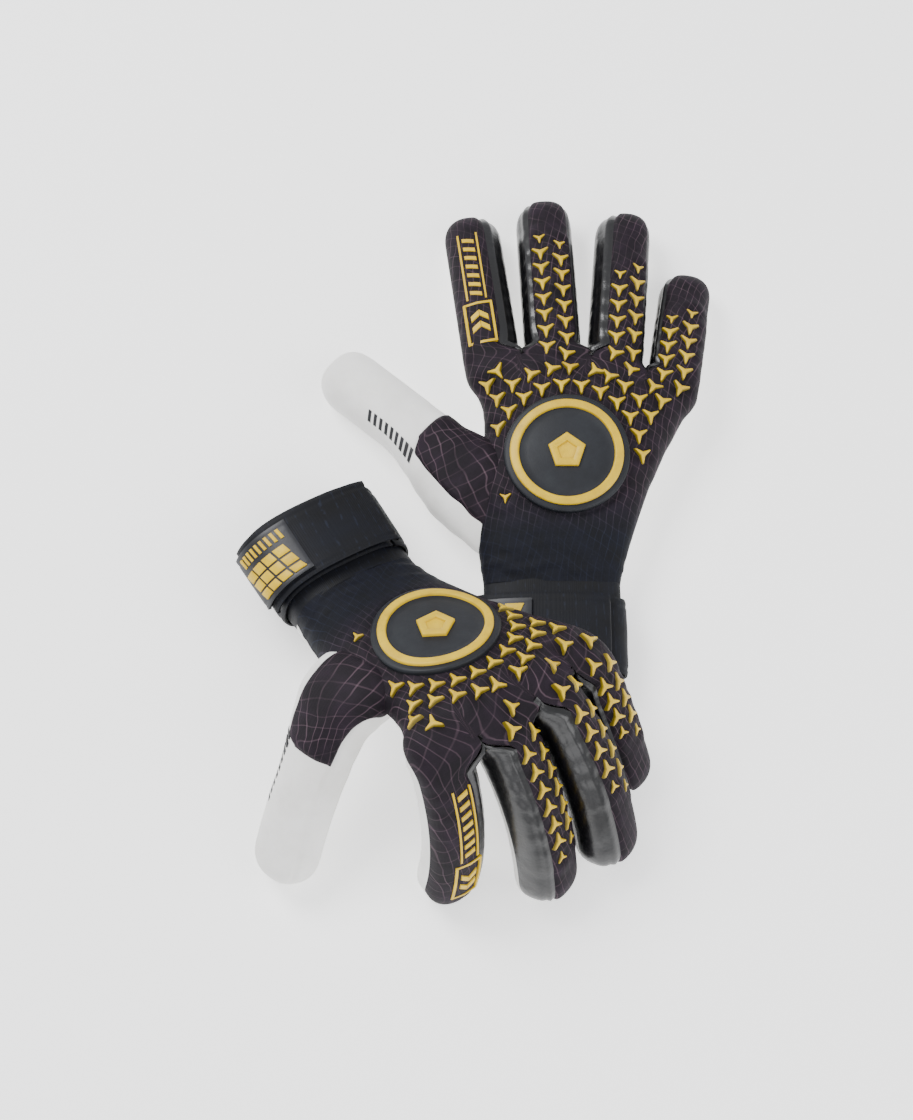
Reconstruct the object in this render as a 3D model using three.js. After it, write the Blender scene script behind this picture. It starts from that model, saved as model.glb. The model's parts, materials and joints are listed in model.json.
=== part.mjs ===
// A pair of goalkeeper gloves lying palm down: the right one nearly flat, the left one domed.
// Units are millimetres, +Z is up. Each glove is first laid out flat, as a right hand seen on
// its back: the origin is the badge centre half way through the hand, +X points to the little
// finger, +Y to the fingertips and +Z out of the back of the hand. It is then bent into its
// resting posture, mirrored if it is the left one, and set down on the ground plane.

import * as THREE from 'three';

// ---------------------------------------------------------------- driving dimensions

const FINGERS = ['index', 'middle', 'ring', 'pinky'];
const DIGITS = [...FINGERS, 'thumb'];

const FINGER_WIDTH = 29.5;
const PINKY_WIDTH = 26.5;
const THUMB_WIDTH = 33;
const FINGER_DEPTH = 27;
const PINKY_DEPTH = 24.5;
const THUMB_DEPTH = 29;
const FINGER_SPACE = 2.3;
const DIGIT_LENGTH = { index: 82, middle: 88, ring: 85, pinky: 65, thumb: 84 };
const KNUCKLE_SETBACK = { index: 3.3, middle: 0, ring: 3.8, pinky: 17.9 };

const BADGE_TO_KNUCKLE = 57.4;
const BADGE_TO_WRIST = 66;
const MIDDLE_OFFSET = -6.2;
const KNUCKLE_DEPTH = 33;
const PALM_DEPTH = 38;
const WRIST_WIDTH = 70;
const WRIST_DEPTH = 40;
const WRIST_OFFSET = -7.7;
const THUMB_ROOT_BELOW_BADGE = 5.4;
const THUMB_SEAM = 3.5;
const THUMB_MOUTH_ANGLE = 30;
const THUMB_MOUTH_SHARES = [0.2, 0.35, 0.62, 0.75];

const CUFF_LENGTH = 51;
const CUFF_WALL = 3;
const CUFF_FLARE = 1;
const STRAP_WIDTH = 40;
const STRAP_WALL = 2.4;
const STRAP_TO_WRIST = 8;
const STRAP_SPLIT_ANGLE = 50;
const FLAP_END_ANGLE = 174;
const FLAP_WALL = 2.2;
const TAB_LENGTH = 36;
const TAB_WIDTH = 32;
const TAB_WALL = 1.8;
const HOOK_WALL = 0.6;
const HOOK_LENGTH = 30;
const HOOK_WIDTH = 34;

const BACK_WALL = 3.4;
const PALM_WALL = 6;
const GUSSET_WALL = 2.6;
const LINING_WALL = 1;
const LINING_GAP = 1.5;
const LINING_EDGE_ANGLE = 20;
const LINING_SHARES = [0.03, 0.94];
const GUSSET_HALF_ANGLE = 24;

const BADGE_RADIUS = 32;
const BADGE_WALL = 2.4;
const RING_OUTER_RADIUS = 28.3;
const RING_BAND = 4;
const MOTIF_RADIUS = 10;
const EMBLEM_WALL = 1;
const STAR_PANEL_WALL = 0.9;
const STAR_PANEL_MARGIN = 4;
const RIB_PANEL_WIDTH = 15;
const RIB_PANEL_WALL = 1.6;
const RIB_PANEL_MARGIN = 9;
const PATCH_LENGTH = 31;
const PATCH_HALF_ANGLE = 62;

const SEAM_GAP = 0.6;
const LAYER_GAP = 0.5;
const PLATE_STEP = 8;
const HINGE_GAP = 2;
const HINGE_DEPTH = 9;

const KNUCKLE_BEND = 11;
const CURL_START = 8;
const WRIST_BEND_START = 34;
const WRIST_BEND_LENGTH = 52;

// The left glove's heel stays clear of the strap of the right glove, whose wrist is as wide.
const RIGHT_GLOVE_X = 51;
const HEEL_OVERHANG = 12.2;

// Resting postures, in degrees. Headings are measured from +Y towards the thumb side; flex is
// the bend at the knuckle, curl the bend along the digit and wrist the bend towards the back.
// extend and close are how far each knuckle can still open and close from rest.
const GLOVES = {
  right: {
    mirrored: false,
    place: [RIGHT_GLOVE_X, 61],
    yaw: -0.5,
    pitch: 2,
    roll: -1.1,
    wrist: -2,
    fill: 0.45,
    palmFill: 0.9,
    heading: { index: 8, middle: 3.3, ring: -4, pinky: -8.3, thumb: 48.5 },
    flex: { index: 6.2, middle: 6.1, ring: 6.9, pinky: 9.5, thumb: 2.4 },
    curl: { index: 7.4, middle: 7.3, ring: 7.1, pinky: 10.1, thumb: 6.9 },
    extend: 15,
    close: 45,
    thumbOpen: 10,
  },
  left: {
    mirrored: true,
    place: [RIGHT_GLOVE_X + WRIST_OFFSET + HEEL_OVERHANG - WRIST_WIDTH, -57],
    yaw: -141,
    pitch: 28.5,
    roll: -14.5,
    wrist: 28,
    fill: 1,
    palmFill: 0.3,
    heading: { index: -5, middle: -22, ring: -20, pinky: -20.5, thumb: 84 },
    flex: { index: 77.2, middle: 66.0, ring: 57.9, pinky: 67.6, thumb: 47.3 },
    curl: { index: 36, middle: 25, ring: 28, pinky: 10, thumb: 17 },
    extend: 30,
    close: 10,
    thumbOpen: 15,
  },
};

// ---------------------------------------------------------------- materials

const finish = (color, roughness) => ({ color, roughness, metalness: 0 });
const KNIT = finish(0x211a24, 0.8);
const GLOSS_BLACK = finish(0x101012, 0.35);
const LATEX = finish(0xe9e8e6, 0.7);
const LINING = finish(0x2a2a2e, 0.95);
const NEOPRENE = finish(0x15161c, 0.75);
const BADGE_RUBBER = finish(0x26282d, 0.6);
const YELLOW_RUBBER = finish(0xe3b81f, 0.5);
const HOOK_TAPE = finish(0x1b1b1e, 0.9);

// ---------------------------------------------------------------- small helpers

const rad = THREE.MathUtils.degToRad;
const lerp = THREE.MathUtils.lerp;
const smooth = (x, low, high) => THREE.MathUtils.smoothstep(x, low, high);
const signedPower = (x, power) => Math.sign(x) * Math.abs(x) ** power;

/** Value at x on the straight lines through the given [x, value] pairs. */
function along(pairs, x) {
  const last = pairs.length - 1;
  if (x <= pairs[0][0]) return pairs[0][1];
  if (x >= pairs[last][0]) return pairs[last][1];
  const i = pairs.findIndex((pair) => pair[0] > x) - 1;
  const share = (x - pairs[i][0]) / (pairs[i + 1][0] - pairs[i][0]);
  return lerp(pairs[i][1], pairs[i + 1][1], share);
}

/** Bends the stretch from start to end into an arc; what lies beyond turns with it. */
function bend(s, z, start, end, degrees) {
  if (s <= start || Math.abs(degrees) < 1e-6) return [s, z];
  const curvature = rad(degrees) / (end - start);
  const angle = curvature * (Math.min(s, end) - start);
  const beyond = Math.max(s - end, 0);
  return [
    start + Math.sin(angle) / curvature + z * Math.sin(angle) + beyond * Math.cos(angle),
    -(1 - Math.cos(angle)) / curvature + z * Math.cos(angle) - beyond * Math.sin(angle),
  ];
}

/** A closed slab: a unit box with nu by nv by 1 cells whose corners are carried by shape. */
function slab(nu, nv, shape) {
  const cells = new THREE.BoxGeometry(1, 1, 1, nu, nv, 1);
  return carry(cells, (p) => shape(p.x + 0.5, p.y + 0.5, p.z + 0.5));
}

/** A closed ring round the cuff: shape gets the angle, the share across and 0 inside or 1 outside. */
function band(segments, rows, shape) {
  const profile = [];
  for (let i = 0; i <= rows; i++) profile.push(new THREE.Vector2(2, i / rows));
  for (let i = rows; i >= 0; i--) profile.push(new THREE.Vector2(1, i / rows));
  profile.push(profile[0].clone());
  return carry(new THREE.LatheGeometry(profile, segments), (p) => {
    return shape(Math.atan2(p.z, p.x), p.y, Math.hypot(p.x, p.z) - 1);
  });
}

/** Closed profile of a flat plate or washer, with points every PLATE_STEP along its faces. */
function plateProfile(inner, outer, wall) {
  const steps = Math.ceil((outer - inner) / PLATE_STEP);
  const radii = Array.from({ length: steps + 1 }, (_, i) => lerp(inner, outer, i / steps));
  const points = radii.map((r) => new THREE.Vector2(r, 0));
  points.push(...radii.reverse().map((r) => new THREE.Vector2(r, wall)));
  if (inner > 0) points.push(points[0].clone());
  return points;
}

/** Moves every vertex of a geometry to where shape sends it. */
function carry(geometry, shape) {
  const position = geometry.attributes.position;
  const point = new THREE.Vector3();
  for (let i = 0; i < position.count; i++) {
    point.fromBufferAttribute(position, i);
    position.setXYZ(i, ...shape(point).toArray());
  }
  geometry.deleteAttribute('normal');
  geometry.deleteAttribute('uv');
  return geometry;
}

/** Signed volume, used to turn a body that came out inside out. */
function volume(geometry) {
  const position = geometry.attributes.position;
  const index = geometry.index.array;
  const corners = [new THREE.Vector3(), new THREE.Vector3(), new THREE.Vector3()];
  let total = 0;
  for (let i = 0; i < index.length; i += 3) {
    corners.forEach((corner, j) => corner.fromBufferAttribute(position, index[i + j]));
    total += corners[0].dot(corners[1].cross(corners[2]));
  }
  return total;
}

function faceOut(geometry) {
  if (volume(geometry) < 0) geometry.index.array.reverse();
  return geometry;
}

// ---------------------------------------------------------------- the flat layout

const perDigit = (finger, pinky, thumb) => ({ index: finger, middle: finger, ring: finger, pinky, thumb });
const width = perDigit(FINGER_WIDTH, PINKY_WIDTH, THUMB_WIDTH);
const depth = perDigit(FINGER_DEPTH, PINKY_DEPTH, THUMB_DEPTH);
const knuckleX = { middle: MIDDLE_OFFSET };
knuckleX.index = knuckleX.middle - FINGER_WIDTH - FINGER_SPACE;
knuckleX.ring = knuckleX.middle + FINGER_WIDTH + FINGER_SPACE;
knuckleX.pinky = knuckleX.ring + (FINGER_WIDTH + PINKY_WIDTH + FINGER_SPACE) / 2;
const knuckleLine = FINGERS.map((name) => [knuckleX[name], BADGE_TO_KNUCKLE - KNUCKLE_SETBACK[name]]);
const HAND_LEFT = knuckleX.index - FINGER_WIDTH / 2;
const HAND_RIGHT = knuckleX.pinky + PINKY_WIDTH / 2;
const WRIST_LEFT = WRIST_OFFSET - WRIST_WIDTH / 2;
const WRIST_RIGHT = WRIST_OFFSET + WRIST_WIDTH / 2;
const SECTION_POWER = 0.8;
const HEEL_BULGE = 1.5;
const WEB_WAIST = 8;

/** Left edge, right edge and half depth of the hand at a share of the way from wrist to knuckles. */
function handSection(share, fill) {
  const heel = HEEL_BULGE * Math.sin(Math.PI * Math.min(share / 0.6, 1));
  const web = WEB_WAIST * smooth(share, 0.35, 0.75) * (1 - smooth(share, 0.8, 1));
  const wristDepth = WRIST_DEPTH * fill;
  const palm = Math.sin(Math.PI * share) * (PALM_DEPTH - (wristDepth + KNUCKLE_DEPTH) / 2);
  return {
    left: lerp(WRIST_LEFT, HAND_LEFT, share) - heel + web,
    right: lerp(WRIST_RIGHT, HAND_RIGHT, share ** 1.4) + heel,
    half: (lerp(wristDepth, KNUCKLE_DEPTH, share) + palm) / 2,
  };
}

/** Half the space that a knuckle needs at height z, before the posture's bend stretches it. */
function hingeGap(z, flex, extend, close) {
  const above = z + HINGE_DEPTH;
  const wedge = above > 0 ? above * Math.tan(rad(extend / 2)) : -above * Math.tan(rad(close / 2));
  const stretch = 1 + (z * rad(flex)) / (2 * KNUCKLE_BEND);
  return (HINGE_GAP / 2 + wedge) / Math.max(stretch, 0.2);
}

// ---------------------------------------------------------------- one glove

function buildGlove(side, posture) {
  const group = new THREE.Group();
  const flexLine = FINGERS.map((name) => [knuckleX[name], posture.flex[name]]);

  /** Puts a point of the flat hand into the resting posture. */
  function poseHand(x, y, z) {
    const knuckle = along(knuckleLine, x);
    const [ahead, height] = bend(y - knuckle, z, -KNUCKLE_BEND, KNUCKLE_BEND, along(flexLine, x));
    const [behind, lift] = bend(
      -(ahead + knuckle) - WRIST_BEND_START, height, 0, WRIST_BEND_LENGTH, -posture.wrist);
    return new THREE.Vector3(x, -(behind + WRIST_BEND_START), lift);
  }

  const root = {};
  const thumbSeam = handSection(0.5, posture.fill).left - THUMB_SEAM;
  FINGERS.forEach((name) => (root[name] = [knuckleX[name], BADGE_TO_KNUCKLE - KNUCKLE_SETBACK[name]]));
  root.thumb = [thumbSeam, -THUMB_ROOT_BELOW_BADGE];

  /** Puts a point of a flat digit (s along it, l across it, z up) into the resting posture. */
  function poseDigit(name, s, l, z) {
    const heading = rad(posture.heading[name]);
    const [curled, lift] = bend(s, z, CURL_START, DIGIT_LENGTH[name], posture.curl[name]);
    const [ahead, height] = bend(curled, lift, -KNUCKLE_BEND, KNUCKLE_BEND, posture.flex[name]);
    return new THREE.Vector3(
      root[name][0] + l * Math.cos(heading) - ahead * Math.sin(heading),
      root[name][1] + l * Math.sin(heading) + ahead * Math.cos(heading),
      height,
    );
  }

  function add(name, look, geometry) {
    if (posture.mirrored) carry(geometry, (p) => p.setX(-p.x));
    const material = new THREE.MeshStandardMaterial(look);
    const mesh = new THREE.Mesh(faceOut(geometry), material);
    mesh.name = `${side}_${name}`;
    group.add(mesh);
  }

  // -------------------------------------------------------------- hand

  /** A point of the hand's skin: angle round it, share along it and depth below the surface. */
  function handSkin(angle, share, inset) {
    const section = handSection(share, posture.fill);
    const x = (section.left + section.right) / 2
      + ((section.right - section.left) / 2 - inset) * signedPower(Math.cos(angle), SECTION_POWER);
    const hollow = angle > Math.PI ? 1 - (1 - posture.palmFill) * Math.sin(Math.PI * share) : 1;
    const z = (section.half * hollow - inset) * signedPower(Math.sin(angle), SECTION_POWER);
    const gap = hingeGap(z, along(flexLine, x), posture.extend, posture.close);
    return poseHand(x, lerp(-BADGE_TO_WRIST, along(knuckleLine, x) - gap, share), z);
  }

  /** A point over the back of the hand at x, y of the flat layout, standing out by raise. */
  function overBack(x, y, raise) {
    const gap = hingeGap(KNUCKLE_DEPTH / 2, along(flexLine, x), posture.extend, posture.close);
    const share = (y + BADGE_TO_WRIST) / (along(knuckleLine, x) - gap + BADGE_TO_WRIST);
    const section = handSection(share, posture.fill);
    const across = (2 * x - section.left - section.right) / (section.right - section.left);
    const cosine = Math.min(Math.abs(across), 1) ** (1 / SECTION_POWER);
    const z = section.half * Math.sqrt(1 - cosine ** 2) ** SECTION_POWER;
    return poseHand(x, y, z + raise);
  }

  const seam = SEAM_GAP / 2 / (PALM_DEPTH / 2);
  const [opens, open, closes, closed] = THUMB_MOUTH_SHARES;
  const thumbMouth = (share) => {
    return rad(THUMB_MOUTH_ANGLE) * smooth(share, opens, open) * (1 - smooth(share, closes, closed));
  };
  add('hand_back', KNIT, slab(10, 8, (u, v, w) => {
    const angle = lerp(seam, Math.PI - seam - thumbMouth(v), u);
    return handSkin(angle, v, BACK_WALL * (1 - w));
  }));
  add('palm_latex', LATEX, slab(10, 8, (u, v, w) => {
    const angle = lerp(Math.PI + seam + thumbMouth(v), 2 * Math.PI - seam, u);
    return handSkin(angle, v, PALM_WALL * (1 - w));
  }));
  add('palm_lining', LINING, slab(8, 6, (u, v, w) => {
    const edge = rad(LINING_EDGE_ANGLE);
    const angle = lerp(Math.PI + edge + thumbMouth(v), 2 * Math.PI - edge, u);
    const share = lerp(...LINING_SHARES, v);
    return handSkin(angle, share, PALM_WALL + LINING_GAP + LINING_WALL * (1 - w));
  }));

  const badgeBase = LAYER_GAP;
  const emblemBase = badgeBase + BADGE_WALL + LAYER_GAP;
  const onBadge = (p, base) => overBack(p.x, p.z, base + p.y);
  const disc = new THREE.LatheGeometry(plateProfile(0, BADGE_RADIUS, BADGE_WALL), 24);
  add('badge_disc', BADGE_RUBBER, carry(disc, (p) => onBadge(p, badgeBase)));
  const ringInner = RING_OUTER_RADIUS - RING_BAND;
  const ring = new THREE.LatheGeometry(plateProfile(ringInner, RING_OUTER_RADIUS, EMBLEM_WALL), 24);
  add('badge_ring', YELLOW_RUBBER, carry(ring, (p) => onBadge(p, emblemBase)));
  const motif = new THREE.CylinderGeometry(MOTIF_RADIUS, MOTIF_RADIUS, EMBLEM_WALL, 5, 1);
  add('badge_motif', YELLOW_RUBBER, carry(motif, (p) => onBadge(p, emblemBase + EMBLEM_WALL / 2)));

  add('star_panel', YELLOW_RUBBER, slab(10, 3, (u, v, w) => {
    const x = lerp(knuckleX.index, knuckleX.pinky, u);
    const front = along(knuckleLine, x) - STAR_PANEL_MARGIN
      - hingeGap(KNUCKLE_DEPTH / 2, along(flexLine, x), posture.extend, posture.close);
    const rear = Math.min(BADGE_RADIUS + STAR_PANEL_MARGIN, front - STAR_PANEL_MARGIN);
    return overBack(x, lerp(rear, front, v), LAYER_GAP + STAR_PANEL_WALL * w);
  }));

  // -------------------------------------------------------------- cuff and strap

  /** A point of the cuff: angle round it, distance below the wrist seam and height above it. */
  function cuffSkin(angle, below, raise) {
    const flare = (CUFF_FLARE * below) / CUFF_LENGTH;
    const x = WRIST_OFFSET + (WRIST_WIDTH / 2 + flare + raise) * signedPower(Math.cos(angle), SECTION_POWER);
    const z = ((WRIST_DEPTH * posture.fill) / 2 + flare + raise) * signedPower(Math.sin(angle), SECTION_POWER);
    return poseHand(x, -BADGE_TO_WRIST - below, z);
  }

  add('cuff_band', NEOPRENE, band(24, 4, (angle, v, w) => {
    return cuffSkin(angle, lerp(SEAM_GAP, CUFF_LENGTH, v), -CUFF_WALL * (1 - w));
  }));

  const strapBase = LAYER_GAP;
  const hookBase = strapBase + STRAP_WALL + LAYER_GAP;
  const flapBase = hookBase + 2 * (HOOK_WALL + LAYER_GAP);
  const tabBase = flapBase + FLAP_WALL + LAYER_GAP;
  const strapSplit = rad(STRAP_SPLIT_ANGLE);
  const flapEnd = rad(FLAP_END_ANGLE);
  const cuffRadius = (WRIST_WIDTH + WRIST_DEPTH * posture.fill) / 4 + flapBase;
  const tabStart = flapEnd - TAB_LENGTH / cuffRadius;
  const hookStart = flapEnd - HOOK_LENGTH / cuffRadius;
  const strapMiddle = STRAP_TO_WRIST + STRAP_WIDTH / 2;

  /** A piece of strap between two angles, two heights and a width across the cuff. */
  function strapPiece(columns, from, to, base, wall, across) {
    return slab(columns, 2, (u, v, w) => {
      return cuffSkin(lerp(from, to, u), strapMiddle + lerp(-across / 2, across / 2, v), base + wall * w);
    });
  }

  const splitGap = STRAP_WALL / cuffRadius;
  add('strap_wrap', NEOPRENE,
    strapPiece(24, strapSplit, strapSplit + 2 * Math.PI - splitGap, strapBase, STRAP_WALL, STRAP_WIDTH));
  add('loop_patch', HOOK_TAPE, strapPiece(6, hookStart, flapEnd, hookBase, HOOK_WALL, HOOK_WIDTH));
  const underFlap = hookBase + HOOK_WALL + LAYER_GAP;
  add('hook_patch', HOOK_TAPE, strapPiece(6, hookStart, flapEnd, underFlap, HOOK_WALL, HOOK_WIDTH));
  add('strap_flap', NEOPRENE, strapPiece(10, strapSplit, flapEnd, flapBase, FLAP_WALL, STRAP_WIDTH));
  add('strap_tab', YELLOW_RUBBER, strapPiece(6, tabStart, flapEnd, tabBase, TAB_WALL, TAB_WIDTH));

  // -------------------------------------------------------------- fingers

  const STRAIGHT_SHARE = 5 / 8;
  const TIP_ANGLE = rad(80);

  /** A point of a digit's skin: angle round it, share along it and depth below the surface. */
  function digitSkin(name, angle, share, inset, startAt) {
    const tip = Math.max(share - STRAIGHT_SHARE, 0) / (1 - STRAIGHT_SHARE);
    const closing = Math.cos(tip * TIP_ANGLE);
    const halfWidth = width[name] / 2 - inset;
    const l = halfWidth * Math.cos(angle) * closing;
    const z = (depth[name] / 2 - inset) * Math.sin(angle) * closing;
    const reach = DIGIT_LENGTH[name] + halfWidth * Math.sin(tip * TIP_ANGLE);
    const straight = lerp(startAt(l, z), DIGIT_LENGTH[name], Math.min(share / STRAIGHT_SHARE, 1));
    return poseDigit(name, tip > 0 ? reach : straight, l, z);
  }

  const halfGusset = rad(GUSSET_HALF_ANGLE);
  const sewn = { index: [true, false], middle: [true, true], ring: [true, true], pinky: [false, true] };
  FINGERS.forEach((name) => {
    const gap = SEAM_GAP / 2 / (depth[name] / 2);
    const [inner, outer] = sewn[name].map((hasGusset) => (hasGusset ? halfGusset : 0));
    const heading = rad(posture.heading[name]);
    const start = (l, z) => {
      const front = along(knuckleLine, root[name][0] + l * Math.cos(heading)) - root[name][1];
      const gap = hingeGap(z, posture.flex[name], posture.extend, posture.close);
      return (front + gap - l * Math.sin(heading)) / Math.cos(heading);
    };
    add(`${name}_back`, KNIT, slab(6, 8, (u, v, w) => {
      const angle = lerp(inner + gap, Math.PI - outer - gap, u);
      return digitSkin(name, angle, v, BACK_WALL * (1 - w), start);
    }));
    add(`${name}_palm`, LATEX, slab(6, 8, (u, v, w) => {
      const angle = lerp(Math.PI + outer + gap, 2 * Math.PI - inner - gap, u);
      return digitSkin(name, angle, v, PALM_WALL * (1 - w), start);
    }));
    [['inner', 0, sewn[name][0]], ['outer', Math.PI, sewn[name][1]]].forEach(([edge, middle, present]) => {
      if (!present) return;
      add(`${name}_gusset_${edge}`, GLOSS_BLACK, slab(2, 8, (u, v, w) => {
        const angle = middle + lerp(-halfGusset + gap, halfGusset - gap, u);
        return digitSkin(name, angle, v, GUSSET_WALL * (1 - w), start);
      }));
    });
  });

  add('index_rib_panel', YELLOW_RUBBER, slab(3, 7, (u, v, w) => {
    const l = lerp(-RIB_PANEL_WIDTH / 2, RIB_PANEL_WIDTH / 2, u);
    const z = (FINGER_DEPTH / 2) * Math.sqrt(1 - (2 * l / FINGER_WIDTH) ** 2);
    const start = RIB_PANEL_MARGIN + hingeGap(z, posture.flex.index, posture.extend, posture.close);
    return poseDigit('index', lerp(start, DIGIT_LENGTH.index, v), l, z + LAYER_GAP + RIB_PANEL_WALL * w);
  }));

  // -------------------------------------------------------------- thumb

  const heading = rad(posture.heading.thumb);
  const thumbStart = (l, z) => {
    const wedge = hingeGap(z, 0, 2 * posture.thumbOpen, 0);
    return (wedge + l * Math.cos(heading)) / Math.sin(heading);
  };
  const thumbGap = SEAM_GAP / 2 / (THUMB_DEPTH / 2);
  const patchShare = (STRAIGHT_SHARE * PATCH_LENGTH) / DIGIT_LENGTH.thumb;
  const closedShare = (patchShare + STRAIGHT_SHARE) / 2;
  const thumbRows = [[0, 0], [2 / 8, patchShare], [3 / 8, closedShare], [5 / 8, STRAIGHT_SHARE], [1, 1]];
  const openHalf = (share) => along([[patchShare, rad(PATCH_HALF_ANGLE)], [closedShare, thumbGap]], share);
  add('thumb_latex', LATEX, slab(14, 8, (u, v, w) => {
    const share = along(thumbRows, v);
    const angle = lerp(Math.PI / 2 + openHalf(share), 2.5 * Math.PI - openHalf(share), u);
    return digitSkin('thumb', angle, share, PALM_WALL * (1 - w), thumbStart);
  }));
  add('thumb_patch', KNIT, slab(6, 2, (u, v, w) => {
    const half = rad(PATCH_HALF_ANGLE) - 2 * thumbGap;
    const angle = Math.PI / 2 + lerp(-half, half, u);
    const share = v * patchShare * (1 - SEAM_GAP / PATCH_LENGTH);
    return digitSkin('thumb', angle, share, BACK_WALL * (1 - w), thumbStart);
  }));

  // -------------------------------------------------------------- set down on the ground

  group.rotation.set(rad(posture.pitch), rad(posture.roll), rad(posture.yaw), 'ZXY');
  group.position.set(posture.place[0], posture.place[1], 0);
  group.updateMatrixWorld(true);
  group.position.z = -new THREE.Box3().setFromObject(group, true).min.z;
  return group;
}

// ---------------------------------------------------------------- the pair

const pair = new THREE.Group();
Object.entries(GLOVES).forEach(([side, posture]) => pair.add(buildGlove(side, posture)));
pair.updateMatrixWorld(true);
const bounds = new THREE.Box3().setFromObject(pair, true);
const middle = bounds.getCenter(new THREE.Vector3());
pair.position.set(-middle.x, -middle.y, -bounds.min.z);
pair.updateMatrixWorld(true);

export default pair;
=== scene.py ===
# %% [markdown]
# # A pair of goalkeeper gloves
# A goalkeeper glove is a padded glove: a white latex foam palm, a thick knitted back with
# raised rubber prints, coated side strips (gussets) between the fingers, and a wide elastic
# cuff with a strap. The frame below already holds every part at its place, so this script
# only makes the visible surfaces: smooth panels, seams, prints, straps and their finishes.

# %% Load the frame
import bpy
import json
import numpy as np
from mathutils import Matrix, Vector
from mathutils.bvhtree import BVHTree

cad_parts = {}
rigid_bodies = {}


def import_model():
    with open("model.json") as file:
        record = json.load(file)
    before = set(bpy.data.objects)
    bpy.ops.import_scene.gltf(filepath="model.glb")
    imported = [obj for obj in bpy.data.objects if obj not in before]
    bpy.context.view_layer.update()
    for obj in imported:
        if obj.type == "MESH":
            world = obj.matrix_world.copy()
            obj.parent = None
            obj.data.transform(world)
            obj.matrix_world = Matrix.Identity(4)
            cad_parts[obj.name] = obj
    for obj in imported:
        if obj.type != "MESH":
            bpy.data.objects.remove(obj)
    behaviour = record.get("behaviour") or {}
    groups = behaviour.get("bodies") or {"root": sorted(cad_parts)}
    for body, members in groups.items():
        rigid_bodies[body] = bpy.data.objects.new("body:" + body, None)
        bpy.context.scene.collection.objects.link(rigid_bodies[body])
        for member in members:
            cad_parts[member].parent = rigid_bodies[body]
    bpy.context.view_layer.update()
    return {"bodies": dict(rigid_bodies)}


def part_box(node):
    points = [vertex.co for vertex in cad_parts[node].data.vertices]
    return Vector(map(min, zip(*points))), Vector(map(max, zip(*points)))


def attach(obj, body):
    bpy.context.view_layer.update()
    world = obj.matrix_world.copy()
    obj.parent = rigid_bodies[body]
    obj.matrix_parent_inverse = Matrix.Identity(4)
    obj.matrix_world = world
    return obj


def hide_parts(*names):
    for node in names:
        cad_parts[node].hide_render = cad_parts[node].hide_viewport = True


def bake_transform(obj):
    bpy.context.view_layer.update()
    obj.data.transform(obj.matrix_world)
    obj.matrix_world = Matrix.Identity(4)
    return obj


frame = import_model()

# %% [markdown]
# ## The sizes of a glove
# A real pattern maker draws a glove flat. We do the same: all sizes are in millimetres in a
# flat layout of the right glove seen on its back. The origin is the middle of the badge, +X
# points to the little finger, +Y to the fingertips and +Z out of the back of the hand. Each
# surface is worked out there and then bent into the posture in which the glove lies.

# %% Sizes in millimetres
MM = 0.001
FINGERS = ["index", "middle", "ring", "pinky"]
WIDTH = {"index": 30.3, "middle": 30.3, "ring": 30.3, "pinky": 27.3, "thumb": 33.0}
DEPTH = {"index": 27.0, "middle": 27.0, "ring": 27.0, "pinky": 24.5, "thumb": 29.0}
LENGTH = {"index": 82.0, "middle": 88.0, "ring": 85.0, "pinky": 65.0, "thumb": 84.0}
BADGE_TO_KNUCKLE, BADGE_TO_WRIST = 57.4, 66.0
SETBACK = {"index": 3.3, "middle": 0.0, "ring": 3.8, "pinky": 17.9}
KNUCKLE_DEPTH, PALM_DEPTH = 33.0, 38.0
WRIST_WIDTH, WRIST_DEPTH, WRIST_OFFSET = 70.0, 40.0, -7.7
CUFF_LENGTH, CUFF_FLARE, CUFF_WALL = 51.0, 1.0, 3.0
STRAP_WIDTH, STRAP_TO_WRIST = 40.0, 8.0
BADGE_RADIUS = 32.0
BACK_WALL, LATEX_WALL = 3.4, 5.0
FINGER_WALL, GUSSET_WALL, LINING_WALL = 2.4, 1.6, 0.9
KNUCKLE_BEND, CURL_START = 11.0, 8.0
WRIST_BEND_START, WRIST_BEND_LENGTH = 34.0, 52.0
SECTION_POWER = 0.8

KNUCKLE_X = {"index": -38.0, "middle": -6.2, "ring": 25.6, "pinky": 54.75}
ROOT = {n: np.array([KNUCKLE_X[n], BADGE_TO_KNUCKLE - SETBACK[n]]) for n in FINGERS}
LINE_X = [KNUCKLE_X[n] for n in FINGERS]
LINE_Y = [ROOT[n][1] for n in FINGERS]

POSTURE = {
    "right": dict(
        mirrored=False, yaw=-0.5, pitch=2.0, roll=-1.1, wrist=-2.0, fill=0.45, palm_fill=0.9,
        heading=dict(index=8, middle=3.3, ring=-4, pinky=-8.3, thumb=48.5),
        flex=dict(index=6.2, middle=6.1, ring=6.9, pinky=9.5, thumb=2.4),
        curl=dict(index=7.4, middle=7.3, ring=7.1, pinky=10.1, thumb=6.9)),
    "left": dict(
        mirrored=True, yaw=-141.0, pitch=28.5, roll=-14.5, wrist=28.0, fill=1.0, palm_fill=0.3,
        heading=dict(index=-5, middle=-22, ring=-20, pinky=-20.5, thumb=84),
        flex=dict(index=77.2, middle=66, ring=57.9, pinky=67.6, thumb=47.3),
        curl=dict(index=36, middle=25, ring=28, pinky=10, thumb=17)),
}
print("glove length, flat:", BADGE_TO_WRIST + CUFF_LENGTH + BADGE_TO_KNUCKLE + LENGTH["middle"]
      + WIDTH["middle"] / 2, "mm")


# %% [markdown]
# ## Bending the flat pattern
# Padding bends like a thick sheet: the middle layer keeps its length, the outside stretches
# and the inside shortens. So a bend is an arc. A point before the arc stays, a point on it
# turns about the arc's centre, and a point beyond it turns by the whole angle. The same
# function bends knuckles, curls fingers and tips the wrist back.

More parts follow.
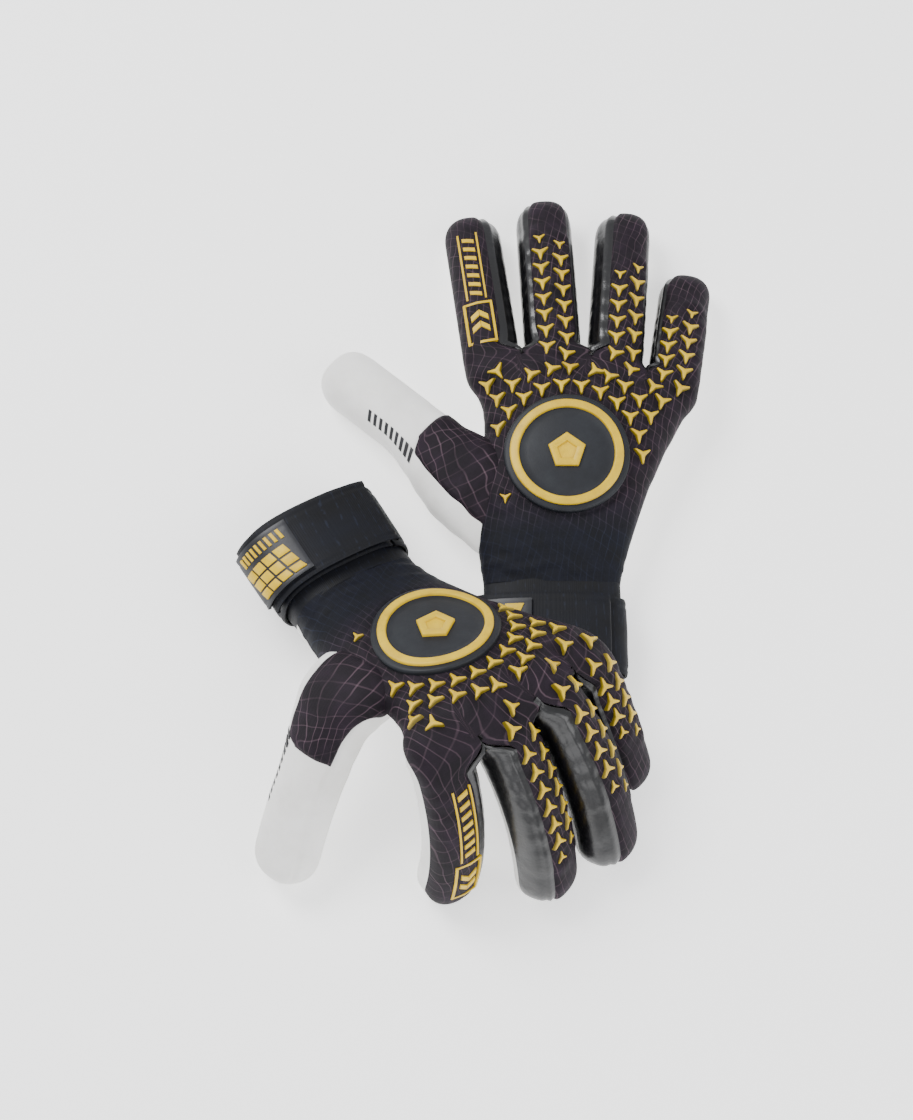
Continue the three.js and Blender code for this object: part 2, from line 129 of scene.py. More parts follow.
# %% The bend and the two posing functions
def smooth(x, low, high):
    """0 below low, 1 above high, and 3t^2 - 2t^3 between them."""
    t = np.clip((np.asarray(x, float) - low) / (high - low), 0, 1)
    return t * t * (3 - 2 * t)


def power(x, p):
    """|x| to the power p, with the sign of x: it squares up a circle into a rounded box."""
    return np.sign(x) * np.abs(x) ** p


def bend(s, z, start, end, degrees):
    """Arc of constant curvature between start and end: s gains (1/k + z) sin a, z turns with it."""
    s, z = np.broadcast_arrays(np.asarray(s, float), np.asarray(z, float))
    k = np.radians(degrees) / (end - start) + 1e-9
    a = k * (np.clip(s, start, end) - start)
    beyond = np.maximum(s - end, 0)
    bent_s = start + (1 / k + z) * np.sin(a) + beyond * np.cos(a)
    bent_z = -(1 - np.cos(a)) / k + z * np.cos(a) - beyond * np.sin(a)
    return np.where(s > start, bent_s, s), np.where(s > start, bent_z, z)


def pose_hand(g, x, y, z):
    """Bends the hand at the knuckle line, by an angle that changes across it, and at the wrist."""
    knuckle = np.interp(x, LINE_X, LINE_Y)
    flex = np.interp(x, LINE_X, [g["flex"][n] for n in FINGERS])
    ahead, height = bend(y - knuckle, z, -KNUCKLE_BEND, KNUCKLE_BEND, flex)
    behind, lift = bend(-(ahead + knuckle) - WRIST_BEND_START, height, 0, WRIST_BEND_LENGTH, -g["wrist"])
    return np.stack(np.broadcast_arrays(x, -(behind + WRIST_BEND_START), lift), -1)


def pose_digit(g, name, s, l, z):
    """Curls a digit along its length s, flexes it at the knuckle and turns it to its heading."""
    heading = np.radians(g["heading"][name])
    curled, lift = bend(s, z, CURL_START, LENGTH[name], g["curl"][name])
    ahead, height = bend(curled, lift, -KNUCKLE_BEND, KNUCKLE_BEND, g["flex"][name])
    x = g["root"][name][0] + l * np.cos(heading) - ahead * np.sin(heading)
    y = g["root"][name][1] + l * np.sin(heading) + ahead * np.cos(heading)
    return np.stack(np.broadcast_arrays(x, y, height), -1)


def turn(yaw, pitch, roll):
    """Rotation matrix: roll about Y first, then pitch about X, then yaw about Z."""
    return np.array(Matrix.Rotation(np.radians(yaw), 3, "Z")
                    @ Matrix.Rotation(np.radians(pitch), 3, "X")
                    @ Matrix.Rotation(np.radians(roll), 3, "Y"))


# %% [markdown]
# ## The cross-section of the hand
# The hand is a rounded box whose width grows from the wrist to the knuckles. `section` gives
# its edges at a share of the way, and `hand_flat` a point of its skin at an angle round it.
# The angle is 0 at the little finger side, a quarter turn on the back, half a turn at the
# thumb side and three quarters in the palm.

# %% Hand section
HAND_LEFT = KNUCKLE_X["index"] - 14.75
HAND_RIGHT = KNUCKLE_X["pinky"] + 13.25
HAND_RUN = BADGE_TO_WRIST + BADGE_TO_KNUCKLE


def section(g, share):
    """Left edge, right edge and half depth of the hand, with a bulging heel and a waist at the web."""
    share = np.clip(share, 0, 1)
    heel = 1.5 * np.sin(np.pi * np.minimum(share / 0.6, 1))
    web = 8.0 * smooth(share, 0.35, 0.75) * (1 - smooth(share, 0.8, 1))
    wrist_depth = WRIST_DEPTH * g["fill"]
    palm = np.sin(np.pi * share) * (PALM_DEPTH - (wrist_depth + KNUCKLE_DEPTH) / 2)
    wrist_left, wrist_right = WRIST_OFFSET - WRIST_WIDTH / 2, WRIST_OFFSET + WRIST_WIDTH / 2
    left = wrist_left + (HAND_LEFT - wrist_left) * share - heel + web
    right = wrist_right + (HAND_RIGHT - wrist_right) * share ** 1.4 + heel
    half = (wrist_depth + (KNUCKLE_DEPTH - wrist_depth) * share + palm) / 2
    return left, right, half


def hand_flat(g, angle, share, raise_by=0.0):
    """Flat x, y and z of the skin: a superellipse at each share, run out to the knuckle line."""
    left, right, half = section(g, share)
    x = (left + right) / 2 + ((right - left) / 2 + raise_by) * power(np.cos(angle), SECTION_POWER)
    hollow = np.where(np.sin(angle) < 0, 1 - (1 - g["palm_fill"]) * np.sin(np.pi * np.clip(share, 0, 1)), 1)
    z = (half * hollow + raise_by) * power(np.sin(angle), SECTION_POWER)
    knuckle = np.interp(x, LINE_X, LINE_Y)
    y = -BADGE_TO_WRIST + np.minimum(share, 1) * (knuckle + BADGE_TO_WRIST)
    return x, y + np.maximum(share - 1, 0) * HAND_RUN, z


def border_angle(g, share, x, palm):
    """The angle at which the skin passes over x, on the back or in the palm."""
    left, right, _ = section(g, share)
    across = np.clip((2 * x - left - right) / (right - left), -1, 1)
    angle = np.arccos(power(across, 1 / SECTION_POWER))
    return 2 * np.pi - angle if palm else angle


for side, g in POSTURE.items():
    g["side"] = side
    g["root"] = dict(ROOT, thumb=np.array([section(g, 0.5)[0] - 3.5, -5.4]))
    g["turn"] = turn(g["yaw"], g["pitch"], g["roll"])
    g["sign"] = -1.0 if g["mirrored"] else 1.0
    g["shift"] = np.zeros(3)


def world(g, p):
    """Flat-frame millimetres, already bent, to metres in the shared frame."""
    q = p * np.array([g["sign"], 1, 1])
    return (q @ g["turn"].T + g["shift"]) * MM


def find_place(g):
    """Where a glove lies: the frame's badge box less the box that the same badge has at the origin."""
    spokes = np.linspace(0, 2 * np.pi, 24, endpoint=False)
    x, y = BADGE_RADIUS * np.sin(spokes), BADGE_RADIUS * np.cos(spokes)
    share = (y + BADGE_TO_WRIST) / (np.interp(x, LINE_X, LINE_Y) + BADGE_TO_WRIST)
    left, right, half = section(g, share)
    cosine = np.abs((2 * x - left - right) / (right - left)) ** (1 / SECTION_POWER)
    z = half * np.sqrt(1 - cosine ** 2) ** SECTION_POWER
    rim = np.concatenate([world(g, pose_hand(g, x, y, z + h)) for h in (0.5, 2.9)])
    low, high = (np.array(c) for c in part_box(g["side"] + "_badge_disc"))
    return ((low + high) / 2 - (rim.min(0) + rim.max(0)) / 2) / MM


for g in POSTURE.values():
    g["shift"] = find_place(g)
    print(g["side"], "glove stands at", g["shift"].round(1), "mm")

# %% [markdown]
# ## From a grid to a closed panel
# Every panel of the glove is cut from sheet: knit on foam, latex, or coated fabric. In Blender
# a sheet of zero thickness shows its missing edge at once, so each grid of points gets an
# inner copy, moved in along the normals, and a rim. The normals are worked out on the whole
# surface before it is cut into panels, and kept, so that a cut doesn't show as a crease.

# %% Grid helpers
def unit(v):
    """Each vector divided by its length."""
    return v / np.maximum(np.linalg.norm(v, axis=-1, keepdims=True), 1e-12)


def grid_normals(p, flip, closed=False):
    """Cross product of the steps along the columns and along the rows, out of the surface."""
    if closed:
        across = np.roll(p, -1, 1) - np.roll(p, 1, 1)
    else:
        across = np.gradient(p, axis=1)
    n = np.cross(across, np.gradient(p, axis=0)) * flip
    weak = np.linalg.norm(across, axis=-1) < 1e-7
    n = unit(n)
    pole = unit(n[-2].mean(0)) if closed else unit(n[-3].mean(0))
    return np.where(weak[..., None], pole, n)


def grid_faces(rows, columns, flip, closed=False):
    """Quads of a grid, turned so that they face out; a closed grid joins its last column to its first."""
    r, c = np.meshgrid(np.arange(rows - 1), np.arange(columns - (0 if closed else 1)), indexing="ij")
    e = (c + 1) % columns
    quads = np.stack([r * columns + c, r * columns + e, (r + 1) * columns + e, (r + 1) * columns + c], -1)
    quads = quads.reshape(-1, 4)
    return quads if flip > 0 else quads[:, ::-1]


def make_object(name, vertices, faces, normals=None, flat=None, finish=None, values=None, merge=True):
    """A mesh object from arrays, smooth, with a UV map, its own normals and one face attribute."""
    mesh = bpy.data.meshes.new(name)
    outlines = [list(dict.fromkeys(face)) for face in np.asarray(faces).tolist()]
    mesh.from_pydata(np.asarray(vertices).tolist(), [], outlines)
    loops = np.empty(len(mesh.loops), np.int32)
    mesh.loops.foreach_get("vertex_index", loops)
    mesh.polygons.foreach_set("use_smooth", np.ones(len(mesh.polygons), bool))
    if flat is not None:
        layer = mesh.uv_layers.new(name="pattern")
        layer.data.foreach_set("uv", (np.asarray(flat)[loops, :2] * 0.01).astype(np.float32).ravel())
    if values is not None:
        painted_shade = mesh.attributes.new("painted_shade", "FLOAT", "FACE")
        painted_shade.data.foreach_set("value", np.asarray(values, np.float32))
    if normals is not None:
        mesh.normals_split_custom_set(np.asarray(normals)[loops].tolist())
    else:
        mesh.set_sharp_from_angle(angle=np.radians(50))
    mesh.validate()
    obj = bpy.data.objects.new(name, mesh)
    bpy.context.scene.collection.objects.link(obj)
    if finish is not None:
        mesh.materials.append(finish)
    return obj


def panel(name, outer, normals, flat, wall, flip, finish, closed=False):
    """Closed panel: the outer grid, the same grid moved in by the wall, and quads round the edge."""
    rows, columns = outer.shape[:2]
    count = rows * columns
    inner = outer - normals * wall * MM
    index = np.arange(count).reshape(rows, columns)
    if closed:
        rings = [np.append(index[0], index[0, 0])[::-1], np.append(index[-1], index[-1, 0])]
    else:
        rings = [np.concatenate([index[0, ::-1], index[1:, 0], index[-1, 1:], index[-2::-1, -1]])]
    rims = []
    for k, ring in enumerate(rings):
        quads = np.stack([ring[:-1], ring[1:], ring[1:] + count, ring[:-1] + count], -1)
        rims.append(quads if flip < 0 else quads[:, ::-1])
    if not closed:
        rims[0] = rims[0][:, ::-1]
    faces = np.concatenate([grid_faces(rows, columns, flip, closed),
                            grid_faces(rows, columns, -flip, closed) + count, *rims])
    vertices = np.concatenate([outer.reshape(-1, 3), inner.reshape(-1, 3)])
    both = np.concatenate([normals.reshape(-1, 3), -normals.reshape(-1, 3)])
    flat = np.concatenate([flat.reshape(-1, 2)] * 2)
    return make_object(name, vertices, faces, both, flat, finish)


# %% [markdown]
# ## The skin of a finger, from wrist to fingertip
# A real glove's back is one piece of fabric that runs from the wrist into the fingers. So
# each finger gets one strip of grid that starts at the wrist as a share of the hand, turns
# into the finger's own rounded box near the knuckle and closes over the tip. Strips that lie
# side by side share their border up to the crotch. The seam to the gusset lies higher on the
# thumb side of a finger than on the other, as the pattern was cut.

# %% The strips
CROTCH = 2.0
MORPH_START, MORPH_END = -14.0, 6.0
COLUMNS = 27
HAND_ROWS, MORPH_ROWS, FINGER_ROWS, TIP_ROWS = 66, 12, 52, 14
SEAM_ANGLES = {"index": (180, 70), "middle": (121, 36), "ring": (106, 28), "pinky": (130, 0)}
PALM_ANGLES = {"index": (180, 336), "middle": (204, 336), "ring": (204, 336), "pinky": (204, 360)}
HAND_BORDERS = [HAND_LEFT, -22.1, 9.7, 40.2, HAND_RIGHT]


def row_places(name):
    """For each row: share of the hand, distance past the knuckle and the closing angle of the tip."""
    hand = np.full(HAND_ROWS, MORPH_START)
    morph = np.linspace(MORPH_START, CROTCH, MORPH_ROWS + 1)[1:]
    finger = np.linspace(CROTCH, LENGTH[name], FINGER_ROWS)[1:]
    tip = np.linspace(0, np.pi / 2, TIP_ROWS + 1)[1:]
    s = np.concatenate([hand, morph, finger, np.full(TIP_ROWS, LENGTH[name])])
    phi = np.concatenate([np.zeros(HAND_ROWS + MORPH_ROWS + FINGER_ROWS - 1), tip])
    q = np.concatenate([np.linspace(0, 1, HAND_ROWS), np.ones(len(s) - HAND_ROWS)])
    return q[:, None], s[:, None], phi[:, None]


def hand_strip(g, name, u, q, s, palm, raise_by=0.0):
    """Flat point of the hand on this finger's strip: the angle runs evenly between its two borders."""
    k = FINGERS.index(name)
    ends = [border_angle(g, 1.0, HAND_BORDERS[k + j], palm) for j in (0, 1)]
    ends[0] = np.pi if k == 0 else ends[0]
    ends[1] = (2 * np.pi if palm else 0.0) if k == 3 else ends[1]
    angle = ends[0] + (ends[1] - ends[0]) * (u + 1) / 2
    share = q * 1.0
    for _ in range(4):
        x = hand_flat(g, angle, share)[0]
        knuckle = np.interp(x, LINE_X, LINE_Y)
        share = (q * (knuckle + BADGE_TO_WRIST + MORPH_START) + s - MORPH_START) / (knuckle + BADGE_TO_WRIST)
    return hand_flat(g, angle, share, raise_by)


def seams(name, s, palm):
    """Angles of a panel's two edges; on the back they draw in near the crotch, where the gussets meet."""
    low, high = (PALM_ANGLES if palm else SEAM_ANGLES)[name]
    lift = 0 if palm else 14 * (1 - smooth(s, CROTCH, CROTCH + 18))
    return low - lift * (name != "index"), high + lift * (name != "pinky")


def finger_at(g, name, angle, s, phi, raise_by=0.0):
    """Reach, l and z of a finger's skin at an angle; the tip closes with the cosine of phi."""
    closing = np.maximum(np.cos(phi), 0) ** 0.75
    half = WIDTH[name] / 2
    l = (half + raise_by) * power(np.cos(angle), SECTION_POWER) * closing
    z = (DEPTH[name] / 2 + raise_by) * power(np.sin(angle), SECTION_POWER) * closing
    front = np.interp(g["root"][name][0] + l, LINE_X, LINE_Y) - g["root"][name][1]
    reach = s + (half + raise_by) * np.sin(phi) ** 0.9
    return reach + front * (1 - smooth(s, 0, 0.6 * LENGTH[name])), l, z


def strip_point(g, name, u, q, s, phi, palm):
    """Posed point of a strip in metres, and its place on the flat pattern in millimetres."""
    x, y, z = hand_strip(g, name, u, q, s, palm)
    low, high = seams(name, s, palm)
    reach, l, height = finger_at(g, name, np.radians(low + (high - low) * (u + 1) / 2), s, phi)
    m = smooth(s, MORPH_START, MORPH_END) + 0 * u
    on_hand, on_finger = pose_hand(g, x, y, z), pose_digit(g, name, reach, l, height)
    posed = on_hand + m[..., None] * (on_finger - on_hand)
    flat_x = x + m * (g["root"][name][0] + l - x)
    flat_y = y + m * (g["root"][name][1] + reach - y)
    return world(g, posed), np.stack([flat_x, flat_y], -1)


def share_borders(strips, places, key="p"):
    """Makes neighbouring strips meet: up to the crotch both borders move to their mean."""
    u = np.linspace(-1, 1, COLUMNS)[None, :, None]
    for a, b in zip(FINGERS[:-1], FINGERS[1:]):
        for_a = (1 - smooth(places[a][1], CROTCH, CROTCH + 8))[..., None]
        for_b = (1 - smooth(places[b][1], CROTCH, CROTCH + 8))[..., None]
        middle = (strips[a][key][:, -1:] + strips[b][key][:, :1]) / 2
        strips[a][key] = strips[a][key] + for_a * ((1 + u) / 2) ** 4 * (middle - strips[a][key][:, -1:])
        strips[b][key] = strips[b][key] + for_b * ((1 - u) / 2) ** 4 * (middle - strips[b][key][:, :1])


PLACES = {n: row_places(n) for n in FINGERS}
HAND_END = HAND_ROWS + MORPH_ROWS - 1            # the row of the crotch


# %% [markdown]
# ## Where the raised stars go
# The back carries small three-armed rubber stars: two columns on each of three fingers and
# rows of them round the badge, smaller towards the wrist. They are moulded into a padded
# fabric, which sinks where they grip it and puffs up between them. So their places are
# settled first, and the fabric is shaped round them.

# %% Places of the stars on the flat pattern
def finger_stars():
    """Two columns per finger, the rows about a star apart and staggered by half a row."""
    places = []
    rows = {"middle": (8, 5.0, 9.6, 8, -3.4, 7.0), "ring": (6, 4.0, 9.8, 7, -0.2, 9.0),
            "pinky": (5, 4.0, 9.3, 6, -4.6, 5.4)}
    # left count, first star, pitch, right count, and how far the two columns stand from the middle
    for name, (left, start, pitch, right, near, far) in rows.items():
        for count, offset, shift in ((left, near, 0.0), (right, far, -4.2)):
            s = start + shift + pitch * np.arange(count)
            size = np.where(np.arange(count) == count - 1, 0.72, 1.0)
            x = ROOT[name][0] + offset + 0 * s
            places.append(np.stack([x, ROOT[name][1] + s, size], -1))
    return np.concatenate(places)


def hand_stars():
    """Rings of stars round the badge, kept to the padded part of the back and off the wrist."""
    places = []
    for k, radius in enumerate((39.0, 49.0, 58.5)):
        step = 10.4 / radius
        angle = np.arange(-2.2, 2.2, step) + 0.5 * step * (k % 2)
        places.append(np.stack([radius * np.sin(angle), radius * np.cos(angle)], -1))
    p = np.concatenate(places)
    knuckle = np.interp(p[:, 0], LINE_X, LINE_Y)
    share = (p[:, 1] + BADGE_TO_WRIST) / (knuckle + BADGE_TO_WRIST)
    left, right, _ = section(POSTURE["right"], share)
    web = np.where(p[:, 1] < 12, 15, 5)
    inside = (p[:, 0] > left + web) & (p[:, 0] < right - 6) & (p[:, 1] < knuckle - 4) & (p[:, 1] > -27)
    p = p[inside]
    size = 0.62 + 0.38 * smooth(p[:, 1], -30, 5)
    return np.column_stack([p, size])


STARS_FINGER, STARS_HAND = finger_stars(), hand_stars()
STARS = np.concatenate([STARS_FINGER, STARS_HAND])
print("stars on each glove:", len(STARS_FINGER), "on the fingers and", len(STARS_HAND), "round the badge")


# %% [markdown]
# ## Shaping the padding
# Padded fabric is never a smooth tube. It sinks along every seam and under every star, puffs
# between them, and folds softly where the finger bends. All of this is one height field on
# the flat pattern, in millimetres, added along the surface's normals.

# %% The height of the padding
def quilting(flat):
    """Sinks of 1 mm round each star and round the badge, a low swell elsewhere among them."""
    x, y = flat[..., 0], flat[..., 1]
    height = np.zeros(x.shape)
    near = np.full(x.shape, 99.0)
    for sx, sy, size in STARS:
        d = np.hypot(x - sx, y - sy) / size
        height -= 0.75 * np.exp(-(d / 4.6) ** 2)
        near = np.minimum(near, d)
    height += 0.75 * smooth(near, 3.5, 6.5) * (1 - smooth(near, 8, 15))
    rim = np.hypot(x, y) - BADGE_RADIUS
    return height - 0.9 * np.exp(-((rim - 1.5) / 2.0) ** 2)


def folds(flat, u, s, amount):
    """Soft cross folds where fabric bends: a few sines that drift out of step along the strip."""
    x, y = flat[..., 0], flat[..., 1]
    wave = np.sin(y * 0.62 + 1.3 * np.sin(x * 0.21)) + 0.6 * np.sin(y * 1.13 - x * 0.17 + 2.0)
    return amount * wave * (1 - np.abs(u) ** 3)


def shape_back(g, name, flat, u, s, phi):
    """Everything that moves the knitted back: quilting, seam grooves, knuckle folds, tip puff."""
    edge_l, edge_r = (1 + u) * WIDTH[name] / 2, (1 - u) * WIDTH[name] / 2
    past = smooth(s, CROTCH - 2, CROTCH + 6)
    groove = -1.0 * past * (np.exp(-(edge_l / 1.7) ** 2) * (name != "index")
                            + np.exp(-(edge_r / 1.7) ** 2) * (name != "pinky"))
    swell = 0.7 * past * (1 - np.abs(u) ** 4)
    crease = folds(flat, u, s, 0.16) * smooth(s, -10, 10) * (1 - smooth(s, 30, 60))
    wrist = folds(flat, u * 0, s, 0.22) * (1 - smooth(flat[..., 1], -58, -36))
    return quilting(flat) + groove + swell + crease + wrist


def build_strips(g, palm):
    """Grids of the four strips of one side: posed, shaped along their normals, borders shared."""
    flip = (-1 if palm else 1) * g["sign"]
    strips = {}
    u = np.linspace(-1, 1, COLUMNS)[None, :]
    for name in FINGERS:
        q, s, phi = PLACES[name]
        p, flat = strip_point(g, name, u, q, s, phi, palm)
        strips[name] = dict(p=p, flat=flat)
    share_borders(strips, PLACES)
    for name in FINGERS:
        q, s, phi = PLACES[name]
        strips[name]["n"] = grid_normals(strips[name]["p"], flip)
    share_borders(strips, PLACES, "n")
    for name in FINGERS:
        q, s, phi = PLACES[name]
        t = strips[name]
        if palm:
            crown = 0.5 * (1 - np.abs(u) ** 4) * smooth(s, 0, 8)
            height = folds(t["flat"], u, s, 0.10) * smooth(s, -30, 0) + crown
        else:
            height = shape_back(g, name, t["flat"], u, s, phi)
        height = height * (1 - smooth(phi, 1.1, np.pi / 2))
        t["p"] = t["p"] + unit(t["n"]) * height[..., None] * MM
    share_borders(strips, PLACES)
    for name in FINGERS:
        strips[name]["n"] = grid_normals(strips[name]["p"], flip)
    share_borders(strips, PLACES, "n")
    for name in FINGERS:
        strips[name]["n"] = unit(strips[name]["n"])
    return strips


# %% [markdown]
# ## The gussets
# The strips between the fingers are a stretchy fabric with a glossy coat. Each runs from the
# back's seam round the side of the finger to the palm's seam. Neighbouring gussets start from
# one shared line at the bottom of the gap, which is what makes the small V there.

# %% Gusset grids
GUSSETS = {"index": ("outer",), "middle": ("inner", "outer"), "ring": ("inner", "outer"), "pinky": ("inner",)}
GUSSET_NODE = {("index", "outer"): "index_gusset_inner", ("middle", "inner"): "middle_gusset_inner",
               ("middle", "outer"): "middle_gusset_outer", ("ring", "inner"): "ring_gusset_inner",
               ("ring", "outer"): "ring_gusset_outer", ("pinky", "inner"): "pinky_gusset_outer"}


def gusset_grid(g, backs, palms, name, edge):
    """Angles from the back's seam to the palm's, both ends drawn onto the two panels' own edges."""
    column, k = (0, 0) if edge == "inner" else (-1, 1)
    q, s, phi = (a[HAND_END:] for a in PLACES[name])
    v = np.linspace(0, 1, 15)[None, :]
    start = seams(name, s, False)[k]
    stop = PALM_ANGLES[name][k] - (360 if edge == "outer" else 0)
    reach, l, z = finger_at(g, name, np.radians(start + (stop - start) * v), s, phi)
    p = world(g, pose_digit(g, name, reach, l, z))
    from_back = backs[name]["p"][HAND_END:, column][:, None] - p[:, :1]
    from_palm = palms[name]["p"][HAND_END:, column][:, None] - p[:, -1:]
    p = p + (1 - v[..., None]) * from_back + v[..., None] * from_palm
    flat = np.stack(np.broadcast_arrays(v * 40, s), -1)
    return p, flat


def build_gussets(g, backs, palms):
    """All six grids of a glove, with neighbours drawn together at the crotch and a soft swell."""
    grids = {(n, e): gusset_grid(g, backs, palms, n, e) for n in FINGERS for e in GUSSETS[n]}
    for a, b in zip(FINGERS[:-1], FINGERS[1:]):
        (pa, fa), (pb, fb) = grids[(a, "outer")], grids[(b, "inner")]
        ya, yb = PLACES[a][1][HAND_END:, :, None], PLACES[b][1][HAND_END:, :, None]
        middle = (pa + pb) / 2
        grids[(a, "outer")] = (pa + (1 - smooth(ya, CROTCH, CROTCH + 9)) * (middle - pa), fa)
        grids[(b, "inner")] = (pb + (1 - smooth(yb, CROTCH, CROTCH + 9)) * (middle - pb), fb)
    panels = {}
    for (name, edge), (p, flat) in grids.items():
        flip = (1 if edge == "outer" else -1) * g["sign"]
        s, phi = PLACES[name][1][HAND_END:], PLACES[name][2][HAND_END:]
        v = np.linspace(0, 1, p.shape[1])[None, :]
        n = grid_normals(p, flip)
        pinch = np.exp(-((v - 0.16) / 0.07) ** 2) - 0.5 * np.exp(-((v - 0.30) / 0.09) ** 2)
        ruck = 0.08 * np.sin(s * 0.55 + 2.5 * np.sin(v * 5 + s * 0.11)) * np.sin(np.pi * v)
        height = (0.75 * pinch + ruck) * smooth(s, CROTCH, CROTCH + 7) * (1 - smooth(phi, 0.9, 1.5))
        p = p + n * height[..., None] * MM
        panels[(name, edge)] = (p, grid_normals(p, flip), flat, flip)
    return panels


# %% [markdown]
# ## Laying trims on the skin
# Stars, the badge and the ribs are moulded rubber, bonded flat onto the fabric. `lay` takes
# points of the flat pattern and a height, finds the skin there and its normal from two tiny
# steps, and moves out along it. The same call serves the hand, the fingers and the cuff.

# %% Finding the skin under a point of the pattern
def on_hand(g):
    """Surface of the back of the hand, as a function of x and y on the flat pattern."""
    def surface(x, y):
        knuckle = np.interp(x, LINE_X, LINE_Y)
        share = np.clip((y + BADGE_TO_WRIST) / (knuckle + BADGE_TO_WRIST), 0, 1)
        q = np.clip((y + BADGE_TO_WRIST) / (knuckle + BADGE_TO_WRIST + MORPH_START), 0, 1)
        s = np.maximum(y - knuckle, MORPH_START)
        angle = border_angle(g, share, x, False)
        out = np.zeros(x.shape + (3,))
        edges = [border_angle(g, 1.0, b, False) for b in HAND_BORDERS]
        edges[0], edges[-1] = np.pi, 0.0
        for k, name in enumerate(FINGERS):
            u = 2 * (angle - edges[k]) / (edges[k + 1] - edges[k]) - 1
            inside = (u >= -1 if k else u > -9) & (u < 1 if k < 3 else u < 9)
            p, _ = strip_point(g, name, np.clip(u, -1, 1), q, s, 0 * s, False)
            out = np.where(inside[..., None], p, out)
        return out
    return surface


def on_finger(g, name):
    """Surface of a finger's back, as a function of l across it and s along it."""
    def surface(l, s):
        angle = np.degrees(np.arccos(power(np.clip(l / (WIDTH[name] / 2), -1, 1), 1 / SECTION_POWER)))
        low, high = seams(name, s, False)
        u = 2 * (angle - low) / (high - low) - 1
        p, _ = strip_point(g, name, u, 0 * s + 1, s, 0 * s, False)
        return p
    return surface


def on_thumb(g):
    """Surface of the thumb, as a function of l across it and s along it."""
    def surface(l, s):
        angle = np.arccos(power(np.clip(l / (WIDTH["thumb"] / 2), -1, 1), 1 / SECTION_POWER))
        return thumb_point(g, angle, s, 0 * s)[0]
    return surface


def on_cuff(g, raise_by):
    """Surface over the cuff at one height, by millimetres round it and millimetres below the wrist."""
    def surface(around, below):
        return cuff_point(g, around / AROUND, below, raise_by)
    return surface


def lay(g, surface, a, b, height, step=0.4, flip=1):
    """Point of the surface moved out along its normal, the cross product of two small steps."""
    p = surface(a, b)
    n = np.cross(surface(a + step, b) - p, surface(a, b + step) - p)
    return p + unit(n) * (np.asarray(height) * g["sign"] * flip * MM)[..., None]


# %% The star, a tile and a ring
STAR_TURNS = np.radians([-94, -86, -30, 26, 34, 90, 146, 154, 210])
STAR_REACH = np.array([5.3, 5.3, 1.75, 5.2, 5.2, 1.6, 5.2, 5.2, 1.75])
STAR_RINGS = [(1.06, 1.20, -1.5), (1.0, 1.0, 0.85), (0.90, 0.72, 1.45)]


def star_mesh(g, surface, places):
    """All stars of a panel: three rings of a pointed outline and a middle, each ring higher and smaller.
    A star is stiff, so it keeps its shape and stands on the skin's own directions at its centre."""
    sides = len(STAR_TURNS)
    blunt = STAR_REACH > 3
    x, y, h = [], [], []
    for arm, notch, height in STAR_RINGS:
        r = STAR_REACH * np.where(blunt, arm, notch)
        x.append(r * np.cos(STAR_TURNS)), y.append(r * np.sin(STAR_TURNS)), h.append(0 * r + height)
    x, y, h = (np.append(np.concatenate(v), e) for v, e in ((x, 0.0), (y, 0.0), (h, 1.75)))
    corners = len(x)
    size = places[:, 2]
    a, b, step = places[:, 0], places[:, 1], 0.4
    centre = surface(a, b)
    ahead = unit(surface(a, b + step) - surface(a, b - step))
    normal = unit(np.cross(surface(a + step, b) - surface(a - step, b), ahead)) * g["sign"]
    aside = np.cross(ahead, normal) * g["sign"]
    x, y, h = (v[None, :, None] * size[:, None, None] for v in (x, y, h - 0.2))
    points = centre[:, None] + (aside[:, None] * x + ahead[:, None] * y + normal[:, None] * h) * MM
    k = np.arange(sides)
    e = (k + 1) % sides
    quads = [np.stack([k + j, e + j, e + j + sides, k + j + sides], -1) for j in (0, sides)]
    last = 2 * sides
    caps = np.stack([k + last, e + last, np.full(sides, 3 * sides), np.full(sides, 3 * sides)], -1)
    one = np.concatenate([*quads, caps])
    # painted shade weights: full on the low flank, 0.75 on the upper flank, none on the top
    painted_shade_weights = np.concatenate([np.ones(sides), np.full(sides, 0.75), np.zeros(sides)])
    count = len(places)
    faces = (one[None] + (np.arange(count) * corners)[:, None, None]).reshape(-1, 4)
    faces = faces if g["sign"] > 0 else faces[:, ::-1]
    return points.reshape(-1, 3), faces, np.tile(painted_shade_weights, count)


def tile_mesh(g, surface, corners, height, base=0.0, along=14, edge=0.35, flip=1):
    """Raised four-cornered tiles: a bilinear grid whose outer rows drop to the skin in a rounded step."""
    corners = np.asarray(corners, float)
    side = np.linalg.norm(corners[:, 1] - corners[:, 0], axis=-1).mean()
    long = np.linalg.norm(corners[:, 3] - corners[:, 0], axis=-1).mean()
    a, b = edge / side, edge / long
    t = np.concatenate([[0, 0.0, a, 0.5, 1 - a, 1, 1]])
    w = np.concatenate([[0, 0.0], np.linspace(b, 1 - b, along), [1, 1]])
    rise_t = np.array([0, 0.7, 1, 1, 1, 0.7, 0])
    rise_w = np.concatenate([[0, 0.7], np.ones(along), [0.7, 0]])
    rise = np.minimum(rise_w[:, None], rise_t[None, :])
    c = corners[:, None, None]
    T, W = t[None, None, :, None], w[None, :, None, None]
    near_side = c[..., 0, :] * (1 - T) + c[..., 1, :] * T
    far_side = c[..., 3, :] * (1 - T) + c[..., 2, :] * T
    flat = near_side * (1 - W) + far_side * W
    h = base + np.where(rise > 0, height * rise, -0.6)
    points = lay(g, surface, flat[..., 0], flat[..., 1], h + 0 * flat[..., 0], flip=flip)
    rows, columns = len(w), len(t)
    one = grid_faces(rows, columns, g["sign"] * flip)
    faces = (one[None] + (np.arange(len(corners)) * rows * columns)[:, None, None]).reshape(-1, 4)
    return points.reshape(-1, 3), faces, flat.reshape(-1, 2)


